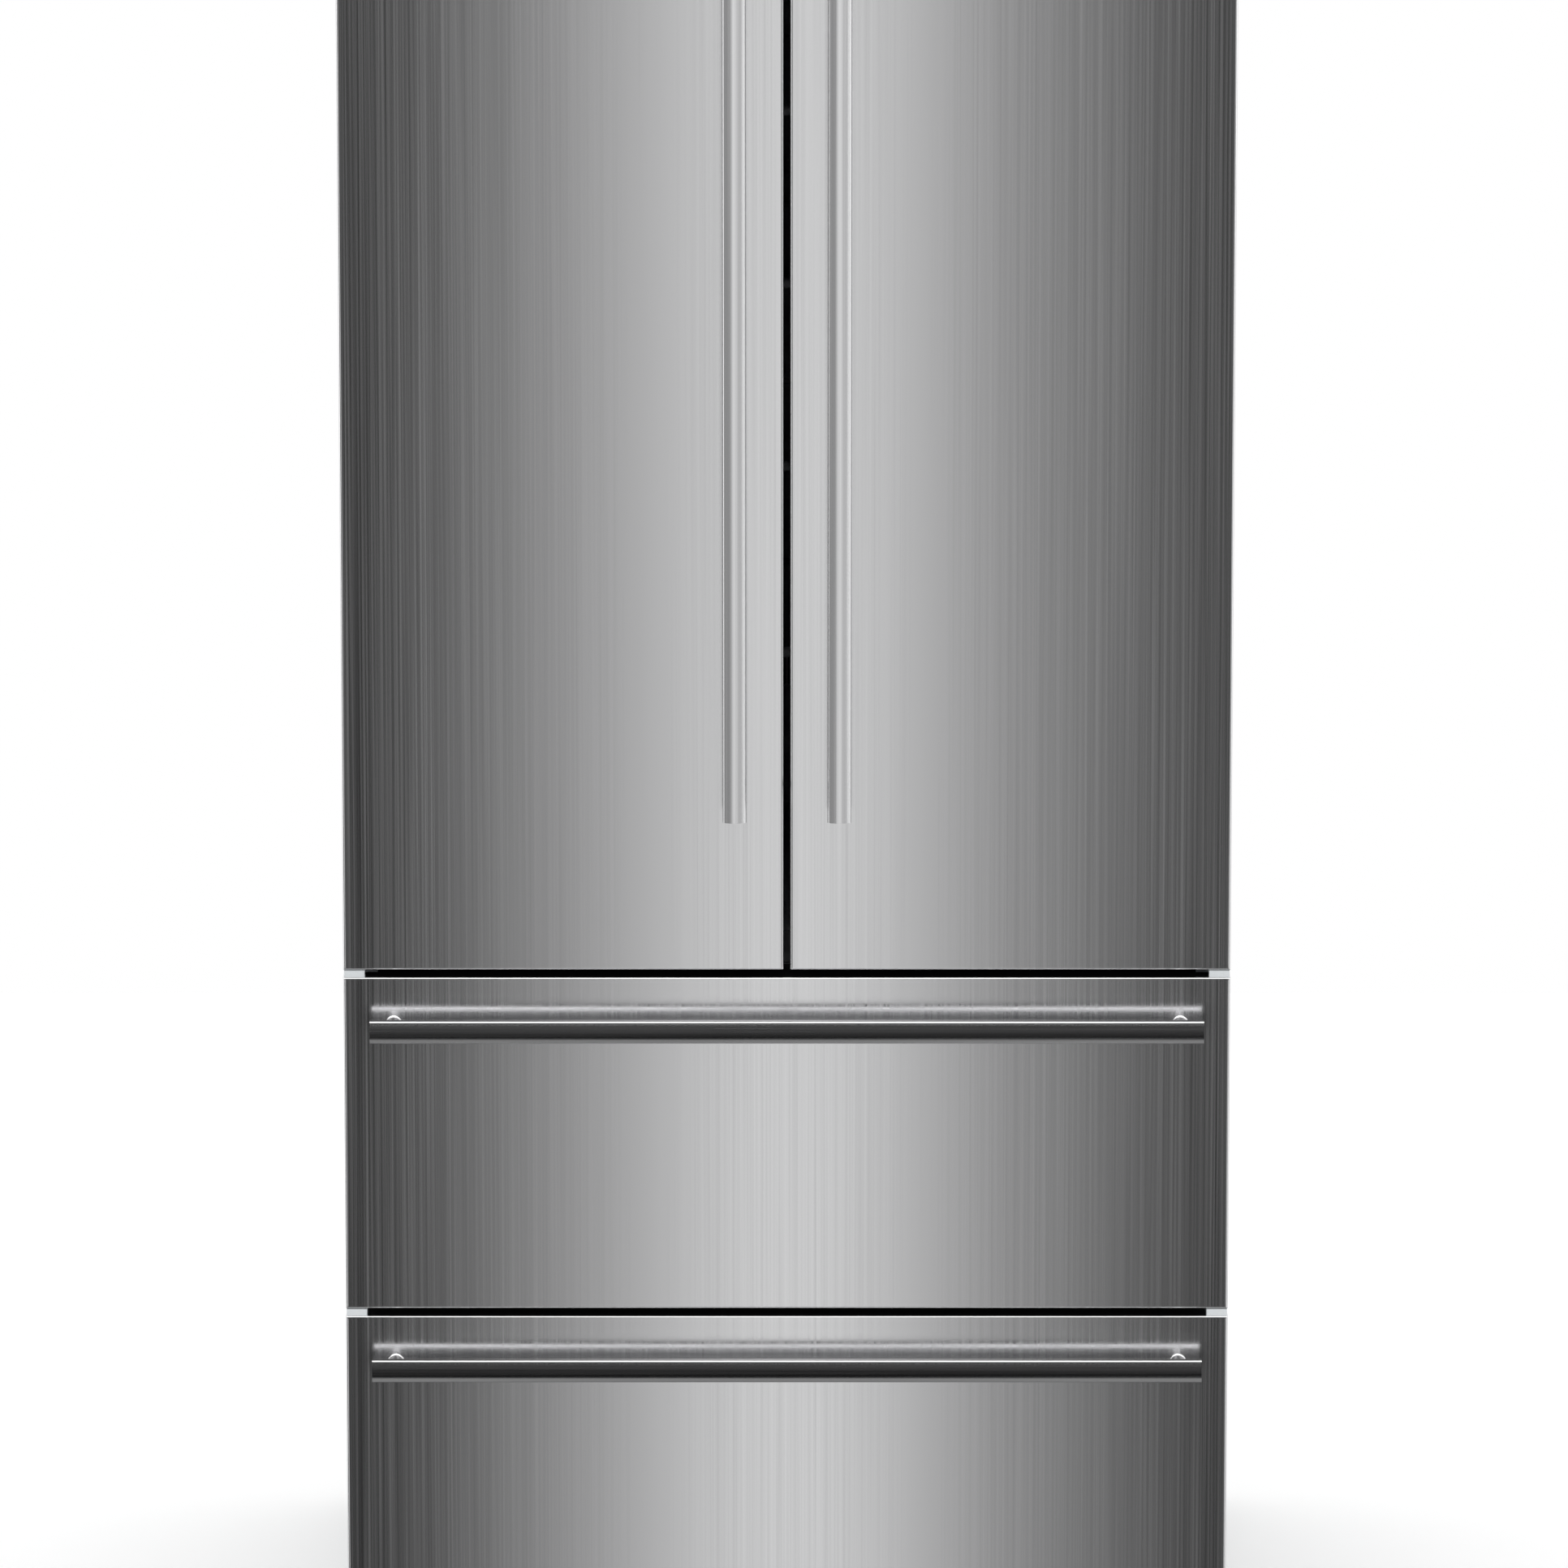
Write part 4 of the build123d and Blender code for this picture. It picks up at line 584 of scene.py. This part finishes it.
class REFRIGERATOR_OT_corner_blocks(bpy.types.Operator):
    """Pale blocks that close the ends of the gap above each drawer, their pale colour a painted highlight"""
    bl_idname = "refrigerator.corner_blocks"
    bl_label = "Build corner blocks"

    def execute(self, context):
        sizes = context.scene.refrigerator_shape
        # Light grey plastic finish: a painted highlight that stands in for the light caught at the ends of the
        # dark gap.
        painted_highlight = plastic("pale block, painted highlight", linear("#DDE1E3"), 0.35, 1.2 * MM, 0.01 * MM, 0.05)
        for level, skin in zip(DRAWERS, DRAWER_SKINS):
            low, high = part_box(skin)
            shape = bmesh.new()
            for side in (-1, 1):
                outer = side * (high.x - sizes.block_inset)
                xs = sorted((outer, outer - side * sizes.block_width))
                y = low.y + sizes.block_inset
                made = cuboid(shape, (xs[0], y, high.z - BLOCK_SINK),
                              (xs[1], y + sizes.block_depth, high.z + sizes.block_height))
                round_edges(shape, edges_along(made, "x", "z"), BLOCK_EDGE, 2)
            # The blocks' pale colour is a painted highlight at the ends of the gap.
            blocks = new_object(f"{level}_drawer_corner_blocks", shape, painted_highlight)
            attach(blocks, body_of(skin))
        return {"FINISHED"}


class REFRIGERATOR_OT_handles(bpy.types.Operator):
    """Crowned bar handles on round posts"""
    bl_idname = "refrigerator.handles"
    bl_label = "Build handles"

    def execute(self, context):
        finish = context.scene.refrigerator_finish
        for names, upright, along in ((SIDES, True, "Z"), (DRAWERS, False, "X")):
            steel = brushed_stainless(f"brushed stainless bar, grain along {along}", along, finish.grip[:],
                                      finish.grip_roughness, contrast=0.16, spread=0.04)
            for name in names:
                handle(f"{name}_{'door' if upright else 'drawer'}_handle", upright, steel)
        return {"FINISHED"}


class REFRIGERATOR_OT_cabinet(bpy.types.Operator):
    """Painted case, galvanised back and floor, plastic grilles and covers"""
    bl_idname = "refrigerator.cabinet"
    bl_label = "Finish cabinet"

    def execute(self, context):
        finish = context.scene.refrigerator_finish
        # Pre-painted steel: even grey with the slight orange peel of a roller-coated finish.
        dress(["outer_case", "cross_rails"],
              plastic("pre-painted grey steel sheet", finish.case_paint[:], 0.4, 1.6 * MM, 0.02 * MM, 0.05,
                      Coat_Weight=0.15))
        # Galvanised sheet: crystals about 9 mm across.
        dress(["back_panel", "base_plate", "fan_motors"],
              spangled_metal("galvanised steel sheet", linear("#A9ADB0"), 9 * MM))
        # Polypropylene mouldings: grey, fine spark-eroded grain.
        dress(["hinge_covers", "toe_grille"], plastic("grey grained polypropylene", linear("#5A5C5F"), 0.55,
                                                      0.7 * MM, 0.03 * MM, 0.12))
        dress(["bay_cover", "power_inlet"], plastic("black grained polypropylene", linear("#18191A"), 0.55,
                                                    0.7 * MM, 0.03 * MM, 0.2))
        # Rigid polyurethane foam: cream, with an open cell texture where it is cut.
        dress(ending("foam"),
              plastic("rigid polyurethane foam", linear("#E4D7A6"), 0.9, 1.5 * MM, 0.3 * MM, 0.25))
        return {"FINISHED"}


class REFRIGERATOR_OT_interior(bpy.types.Operator):
    """Liners, inner panels, glass shelves, trims and the folding mullion"""
    bl_idname = "refrigerator.interior"
    bl_label = "Finish interior"

    def execute(self, context):
        finish = context.scene.refrigerator_finish
        # Vacuum-formed high-impact polystyrene: white, softly glossy, very smooth.
        dress(["fridge_liner", "freezer_liners", "air_covers", "ceiling_fittings"] + ending("inner_panel"),
              plastic("white vacuum-formed polystyrene", finish.liner[:], 0.32, 3 * MM, 0.002 * MM, 0.01))
        # Tempered float glass: clear, with a faint green cast.
        dress(["shelf_glass"],
              plastic("tempered float glass", linear("#F3FBF8"), 0.05, 60 * MM, 0.005 * MM, 0.02,
                      Transmission_Weight=1.0, IOR=1.52))
        # Satin ABS rails: light grey, even.
        dress(["shelf_trims", "mullion_bar"], plastic("light grey satin ABS", linear("#D4D7DA"), 0.35, 2 * MM,
                                                      0.01 * MM, 0.04))
        # Zinc-plated steel: cool grey, slightly cloudy from the plating bath.
        dress(["fixed_slides", "hinge_brackets"] + ending("slide_middle", "runners"),
              spangled_metal("zinc-plated steel", linear("#C3C8CC"), 2.5 * MM))
        # Rolled aluminium fins on tube: bright, thin, with a dull oxide bloom.
        dress(["heat_exchangers"], spangled_metal("rolled aluminium fins", linear("#D9DBDC"), 6 * MM))
        return {"FINISHED"}


class REFRIGERATOR_OT_seals(bpy.types.Operator):
    """Magnetic bellows seals around the doors and drawers"""
    bl_idname = "refrigerator.seals"
    bl_label = "Build seals"

    def execute(self, context):
        sizes = context.scene.refrigerator_shape
        finish = context.scene.refrigerator_finish
        # Extruded soft PVC: mid grey, matt, slightly chalky.
        soft = plastic("extruded soft PVC seal", finish.seal[:], 0.6, 0.8 * MM, 0.01 * MM, 0.1)
        for node in ending("gasket"):
            low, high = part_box(node)
            seal = bellows_frame(low, high, sizes.seal_width, sizes.seal_folds)
            stand_for(f"{node}_bellows", seal, soft, node)
        return {"FINISHED"}


# Each rim's reach outwards and its drop.
BIN_RIM = (1.5 * MM, 7 * MM)
PAN_RIM = (6 * MM, 12 * MM)
BASKET_RIM = (5 * MM, 14 * MM)
BINS = 4
BIN_CORNER_SHARE = 0.6     # a bin's corner radius as a share of the other tubs'
PAN_GAP = 3 * MM           # from the middle plane to each crisper pan


class REFRIGERATOR_OT_storage(bpy.types.Operator):
    """Door bins, crisper pans and freezer baskets"""
    bl_idname = "refrigerator.storage"
    bl_label = "Build storage"

    def execute(self, context):
        sizes = context.scene.refrigerator_shape
        wall, corner = sizes.tub_wall, sizes.tub_corner
        # General-purpose polystyrene: glass-clear, glossy, brightest along its rims.
        clear = plastic("clear polystyrene", linear("#FAFCFD"), 0.08, 40 * MM, 0.01 * MM, 0.01,
                        Transmission_Weight=0.96, IOR=1.59)
        # Filled polypropylene: milky white, satin.
        milky = plastic("milky white polypropylene", linear("#E9ECEE"), 0.4, 1.2 * MM, 0.01 * MM, 0.04)
        for side in SIDES:
            node = f"{side}_door_bins"
            low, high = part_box(node)
            height = sizes.bin_height
            pitch = (high.z - low.z - height) / (BINS - 1)
            shape = bmesh.new()
            for index in range(BINS):
                floor_z = low.z + index * pitch
                tub(shape, Vector((low.x, low.y, floor_z)), Vector((high.x, high.y, floor_z + height)),
                    corner * BIN_CORNER_SHARE, draft=0.0, rim=BIN_RIM)
            stand_for(f"{side}_door_bin_set", shape, clear, node, wall)
        low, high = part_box("crisper_pans")
        shape = bmesh.new()
        for left, right in ((low.x, -PAN_GAP), (PAN_GAP, high.x)):
            tub(shape, Vector((left, low.y, low.z)), Vector((right, high.y, high.z)), corner,
                draft=0.02, rim=PAN_RIM)
        stand_for("crisper_pan_set", shape, clear, "crisper_pans", wall)
        for level in DRAWERS:
            node = f"{level}_drawer_basket"
            shape = bmesh.new()
            tub(shape, *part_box(node), corner, draft=0.03, rim=BASKET_RIM)
            stand_for(f"{level}_drawer_tub", shape, milky, node, wall)
        return {"FINISHED"}


# Outlines of the turned pieces, as (radius, height) in millimetres.
POT_DOME = ((0, 0), (20, -1), (44, -9), (62, -26), (70, -46))    # below its top
POT_SEAM = ((72, 6), (77, 5), (77, -3), (71, -4))                # about the weld seam
POT_BOWL = ((70, 24), (58, 8), (40, 2), (0, 2))                  # above the plate
HUB = ((0, 9), (10, 8.6), (14, 6), (15, 1), (15, -9), (1.5, -9), (1.5, -24), (0, -25))
FOOT_PAD = ((0, 0), (17, 0), (18, 1), (18, 5), (15.5, 7.5), (8, 8))
ROLLER_SIDE = ((4.05, 0), (8, 0), (9, 2), (13, 2), (14, 0), (16.5, 0), (17.5, 2))    # inwards from its side

SEAM_SHARE = 0.45          # height of the weld seam as a share of the pot's
POT_PLATE_RISE = 12 * MM
POT_PLATE = (105 * MM, 74 * MM, 3 * MM)     # half its width, half its depth, thickness
PLATE_CORNER = 12 * MM
PLATE_FOOT = (90 * MM, 58 * MM, 6 * MM)     # middle of a rubber foot from the pot's axis
PLATE_FOOT_RADII = (11 * MM, 8 * MM)
TERMINALS = ((-22 * MM, -76 * MM, 50 * MM), (22 * MM, -60 * MM, 90 * MM))   # corners from the plate
TERMINAL_CORNER = 5 * MM
PIPE_RADIUS = 5 * MM
PIPE_LENGTH = 40 * MM
PIPE_AT = (80 * MM, 0, 63 * MM)

BLADES = 5
BLADE_SPAN = 36 * MM
BLADE_CHORD = 24 * MM
BLADE_ROOT = 13.5 * MM     # inside the hub
BLADE_WALL = 1.5 * MM
BLADE_DROP = 1 * MM
CAMBER = 2.5 * MM
CAMBER_REACH = 13 * MM
ROOT_CHORD_SHARE = 0.75
CHORD_GROWTH = 0.35
ROOT_TWIST_SHARE = 1.15
TWIST_LOSS = 0.5

THREAD_START = 9 * MM
THREAD_PITCH = 1.5 * MM
THREAD_CREST = 5 * MM
THREAD_ROOT = 4.3 * MM
STUD_RADIUS = 4 * MM


def outline(points, height=0.0, up=1):
    """An outline in metres, its heights counted upwards or downwards from a given one."""
    return [(radius * MM, height + up * rise * MM) for radius, rise in points]


class REFRIGERATOR_OT_machinery(bpy.types.Operator):
    """Compressor, fans, levelling feet and rollers"""
    bl_idname = "refrigerator.machinery"
    bl_label = "Build machinery"

    def execute(self, context):
        self.compressor()
        self.fans(context.scene.refrigerator_shape.blade_twist)
        # Black rubber pad and blackened screw: one dark foot with a ribbed stem.
        rubber = plastic("black moulded rubber", linear("#1A1A1B"), 0.65, 0.8 * MM, 0.02 * MM, 0.15)
        # Cast nylon: off-white, waxy.
        nylon = plastic("off-white cast nylon", linear("#D9D8D2"), 0.4, 1.5 * MM, 0.01 * MM, 0.05)
        for side in SIDES:
            self.foot(f"front_foot_{side}", rubber)
            self.roller(f"rear_roller_{side}", nylon)
        return {"FINISHED"}

    def compressor(self):
        # Black stoved enamel on pressed steel: smooth and dark with a wet shine.
        enamel = plastic("black stoved enamel", linear("#131415"), 0.25, 3 * MM, 0.02 * MM, 0.1)
        low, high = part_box("compressor")
        plate_z = low.z + POT_PLATE_RISE
        seam_z = plate_z + SEAM_SHARE * (high.z - plate_z)
        centre = Vector(((low.x + high.x) / 2, (low.y + high.y) / 2, 0))
        on_plate = centre + Vector((0, 0, plate_z))
        shape = bmesh.new()
        turned(shape, outline(POT_DOME, high.z) + outline(POT_SEAM, seam_z) + outline(POT_BOWL, plate_z), 48)
        bmesh.ops.translate(shape, vec=centre, verts=shape.verts)
        half_x, half_y, thick = POT_PLATE
        half = Vector((half_x, half_y, 0))
        plate = cuboid(shape, on_plate - half, on_plate + half + Vector((0, 0, thick)))
        round_edges(shape, edges_along(plate, "z"), PLATE_CORNER, 4)
        foot_x, foot_y, foot_z = PLATE_FOOT
        wide, narrow = PLATE_FOOT_RADII
        for dx in (-foot_x, foot_x):
            for dy in (-foot_y, foot_y):
                foot = bmesh.ops.create_cone(shape, cap_ends=True, segments=24, radius1=wide, radius2=narrow,
                                             depth=2 * foot_z)["verts"]
                bmesh.ops.translate(shape, vec=centre + Vector((dx, dy, low.z + foot_z)), verts=foot)
        terminals = cuboid(shape, *[on_plate + Vector(corner) for corner in TERMINALS])
        round_edges(shape, edges_along(terminals, "y"), TERMINAL_CORNER, 3)
        pipe = bmesh.ops.create_cone(shape, cap_ends=True, segments=20, radius1=PIPE_RADIUS,
                                     radius2=PIPE_RADIUS, depth=PIPE_LENGTH)["verts"]
        place(shape, pipe, Matrix.Rotation(QUARTER, 3, "Y"), on_plate + Vector(PIPE_AT))
        stand_for("compressor_pot", shape, enamel, "compressor")

    def fans(self, twist):
        # Glass-filled nylon: black, dull, faintly streaked.
        nylon = plastic("black glass-filled nylon", linear("#1C1C1E"), 0.5, 1 * MM, 0.02 * MM, 0.15)
        for node, shaft in (("condenser_fan", "Y"), ("evaporator_fan", "X")):
            joint = next(joint for joint in frame["joints"] if joint["child"] == body_of(node))
            shape = bmesh.new()
            turned(shape, outline(HUB), 32)
            for index in range(BLADES):
                verts = self.blade(shape, twist)
                turn = Matrix.Rotation(index * math.tau / BLADES, 3, "Z")
                bmesh.ops.rotate(shape, cent=(0, 0, 0), matrix=turn, verts=verts)
            bmesh.ops.recalc_face_normals(shape, faces=shape.faces)
            place(shape, shape.verts, Matrix.Rotation(QUARTER, 3, shaft), Vector(joint["pos_m"]))
            stand_for(f"{node}_wheel", shape, nylon, node)

    def blade(self, shape, twist):
        """Adds one cambered, twisted blade along X, widening outwards, and returns its vertices."""
        sheet = bmesh.ops.create_grid(shape, x_segments=7, y_segments=5, size=0.5)["verts"]
        bmesh.ops.scale(shape, vec=(BLADE_SPAN, BLADE_CHORD, 1), verts=sheet)
        bmesh.ops.translate(shape, vec=(BLADE_ROOT + BLADE_SPAN / 2, 0, 0), verts=sheet)
        for vert in sheet:
            along = (vert.co.x - BLADE_ROOT) / BLADE_SPAN
            y = vert.co.y * (ROOT_CHORD_SHARE + CHORD_GROWTH * along)
            z = CAMBER * (1 - (y / CAMBER_REACH) ** 2) - BLADE_DROP
            angle = twist * (ROOT_TWIST_SHARE - TWIST_LOSS * along)
            vert.co.y = y * math.cos(angle) - z * math.sin(angle)
            vert.co.z = y * math.sin(angle) + z * math.cos(angle)
        faces = list({face for vert in sheet for face in vert.link_faces})
        solid = bmesh.ops.solidify(shape, geom=faces, thickness=BLADE_WALL)["geom"]
        return list(set(sheet) | {item for item in solid if isinstance(item, bmesh.types.BMVert)})

    def foot(self, node, material):
        low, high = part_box(node)
        thread = []
        height = THREAD_START
        while height < high.z - 2 * THREAD_PITCH:
            thread += [(THREAD_CREST, height), (THREAD_ROOT, height + THREAD_PITCH / 2)]
            height += THREAD_PITCH
        shape = bmesh.new()
        turned(shape, outline(FOOT_PAD) + thread + [(STUD_RADIUS, high.z), (0, high.z)], 32)
        middle = (low + high) / 2
        bmesh.ops.translate(shape, vec=(middle.x, middle.y, 0), verts=shape.verts)
        stand_for(f"{node}_screw", shape, material, node)

    def roller(self, node, material):
        low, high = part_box(node)
        half = (high.x - low.x) / 2
        side = outline(ROLLER_SIDE, -half)
        shape = bmesh.new()
        turned(shape, side + outline(ROLLER_SIDE, half, -1)[::-1] + side[:1])
        place(shape, shape.verts, Matrix.Rotation(QUARTER, 3, "Y"), (low + high) / 2)
        stand_for(f"{node}_wheel", shape, material, node)


STEPS = (REFRIGERATOR_OT_fronts, REFRIGERATOR_OT_corner_blocks, REFRIGERATOR_OT_handles,
         REFRIGERATOR_OT_cabinet, REFRIGERATOR_OT_interior, REFRIGERATOR_OT_seals, REFRIGERATOR_OT_storage,
         REFRIGERATOR_OT_machinery, REFRIGERATOR_OT_stage)


# ------------------------------------------------------------------ settings and panel
def colour_property(name, description, hex_colour):
    """A colour setting with an sRGB default."""
    return FloatVectorProperty(name=name, description=description, subtype="COLOR", min=0, max=1,
                               default=linear(hex_colour))


class RefrigeratorFinish(bpy.types.PropertyGroup):
    """Colours and sheens"""
    stainless: colour_property("Stainless fronts", "Colour of the brushed door and drawer skins", "#E2E2E3")
    grip: colour_property("Handle bars", "Colour of the brushed handle bars", "#DADADB")
    case_paint: colour_property("Case paint", "Colour of the painted sides and top", "#6A6C6E")
    liner: colour_property("Liners", "Colour of the moulded liners and inner panels", "#F2F4F5")
    seal: colour_property("Seals", "Colour of the door and drawer seals", "#77797B")
    front_roughness: FloatProperty(name="Front roughness", description="Roughness of the brushed skins",
                                   default=0.2, min=0.05, max=0.6, subtype="FACTOR")
    grip_roughness: FloatProperty(name="Bar roughness", description="Roughness of the handle bars",
                                  default=0.24, min=0.05, max=0.6, subtype="FACTOR")


class RefrigeratorShape(bpy.types.PropertyGroup):
    """Sizes of the moulded pieces"""
    seal_width: FloatProperty(name="Seal width", description="Width of a seal across its face",
                              default=14 * MM, min=0.008, max=0.02, unit="LENGTH")
    seal_folds: IntProperty(name="Seal ribs", description="Ribs on each side of a seal's section",
                            default=6, min=3, max=10)
    tub_wall: FloatProperty(name="Tub wall", description="Wall of bins, pans and baskets",
                            default=2.2 * MM, min=0.001, max=0.0025, unit="LENGTH")
    tub_corner: FloatProperty(name="Tub corner", description="Radius of a tub's upright corners",
                              default=22 * MM, min=0.005, max=0.04, unit="LENGTH")
    bin_height: FloatProperty(name="Bin height", description="Height of a door bin",
                              default=110 * MM, min=0.08, max=0.11, unit="LENGTH")
    block_inset: FloatProperty(name="Block inset", description="Corner block in from the front's faces",
                               default=0.8 * MM, min=0, max=0.01, unit="LENGTH")
    block_width: FloatProperty(name="Block width", description="Width of a corner block",
                               default=19.5 * MM, min=0.01, max=0.04, unit="LENGTH")
    block_depth: FloatProperty(name="Block depth", description="Depth of a corner block",
                               default=14 * MM, min=0.005, max=0.05, unit="LENGTH")
    block_height: FloatProperty(name="Block height", description="Height of a corner block above its drawer",
                                default=6.6 * MM, min=0.002, max=0.0067, unit="LENGTH")
    blade_twist: FloatProperty(name="Blade twist", description="Pitch of the fan blades at mid span",
                               default=math.radians(34), min=0.2, max=0.9, unit="ROTATION")


class RefrigeratorStudio(bpy.types.PropertyGroup):
    """Camera and light"""
    lens: FloatProperty(name="Lens", description="Focal length on a 36 mm sensor, in mm",
                        default=288.8, min=20, max=400)
    pitch: FloatProperty(name="Pitch", description="How far the camera looks down",
                         default=math.radians(12.65), min=0, max=1.2, unit="ROTATION")
    distance: FloatProperty(name="Distance", description="Camera to the door faces",
                            default=11.794, min=2, max=30, unit="LENGTH")
    aim_x: FloatProperty(name="Aim across", description="Aim point, across", default=-0.0027, unit="LENGTH")
    aim_rise: FloatProperty(name="Aim height", description="Aim point above the doors' bottom edge",
                            default=0.1796, unit="LENGTH")
    ambient: FloatProperty(name="Ambient", description="Strength of the white surround",
                           default=0.9, min=0, max=3)
    floor_size: FloatProperty(name="Floor size", description="Side of the floor sheet",
                              default=5.0, min=2, max=40, unit="LENGTH")
    floor_glow: FloatProperty(name="Floor glow", description="How far the floor is lifted towards white",
                              default=0.22, min=0, max=1)
    panel_distance: FloatProperty(name="Softbox distance", description="Door faces to the softbox",
                                  default=1.2, min=0.5, max=5, unit="LENGTH")
    room_distance: FloatProperty(name="Room distance", description="Door faces to the reflected room",
                                 default=6.0, min=2, max=20, unit="LENGTH")


class REFRIGERATOR_PT_panel(bpy.types.Panel):
    bl_idname = "REFRIGERATOR_PT_panel"
    bl_label = "Refrigerator"
    bl_space_type = "VIEW_3D"
    bl_region_type = "UI"
    bl_category = "Refrigerator"

    def draw(self, context):
        for group in (context.scene.refrigerator_finish, context.scene.refrigerator_shape,
                      context.scene.refrigerator_studio):
            box = self.layout.box()
            for name in group.__annotations__:
                box.prop(group, name)
        for step in STEPS:
            self.layout.operator(step.bl_idname)


GROUPS = {"refrigerator_finish": RefrigeratorFinish, "refrigerator_shape": RefrigeratorShape,
          "refrigerator_studio": RefrigeratorStudio}


def register():
    for cls in (*GROUPS.values(), *STEPS, REFRIGERATOR_PT_panel):
        bpy.utils.register_class(cls)
    for name, group in GROUPS.items():
        setattr(bpy.types.Scene, name, PointerProperty(type=group))


def unregister():
    for name in GROUPS:
        delattr(bpy.types.Scene, name)
    for cls in (REFRIGERATOR_PT_panel, *reversed(STEPS), *GROUPS.values()):
        bpy.utils.unregister_class(cls)


def main():
    register()
    bpy.ops.refrigerator.fronts()
    bpy.ops.refrigerator.corner_blocks()
    bpy.ops.refrigerator.handles()
    bpy.ops.refrigerator.cabinet()
    bpy.ops.refrigerator.interior()
    bpy.ops.refrigerator.seals()
    bpy.ops.refrigerator.storage()
    bpy.ops.refrigerator.machinery()
    bpy.ops.refrigerator.stage()


if __name__ == "__main__":
    main()
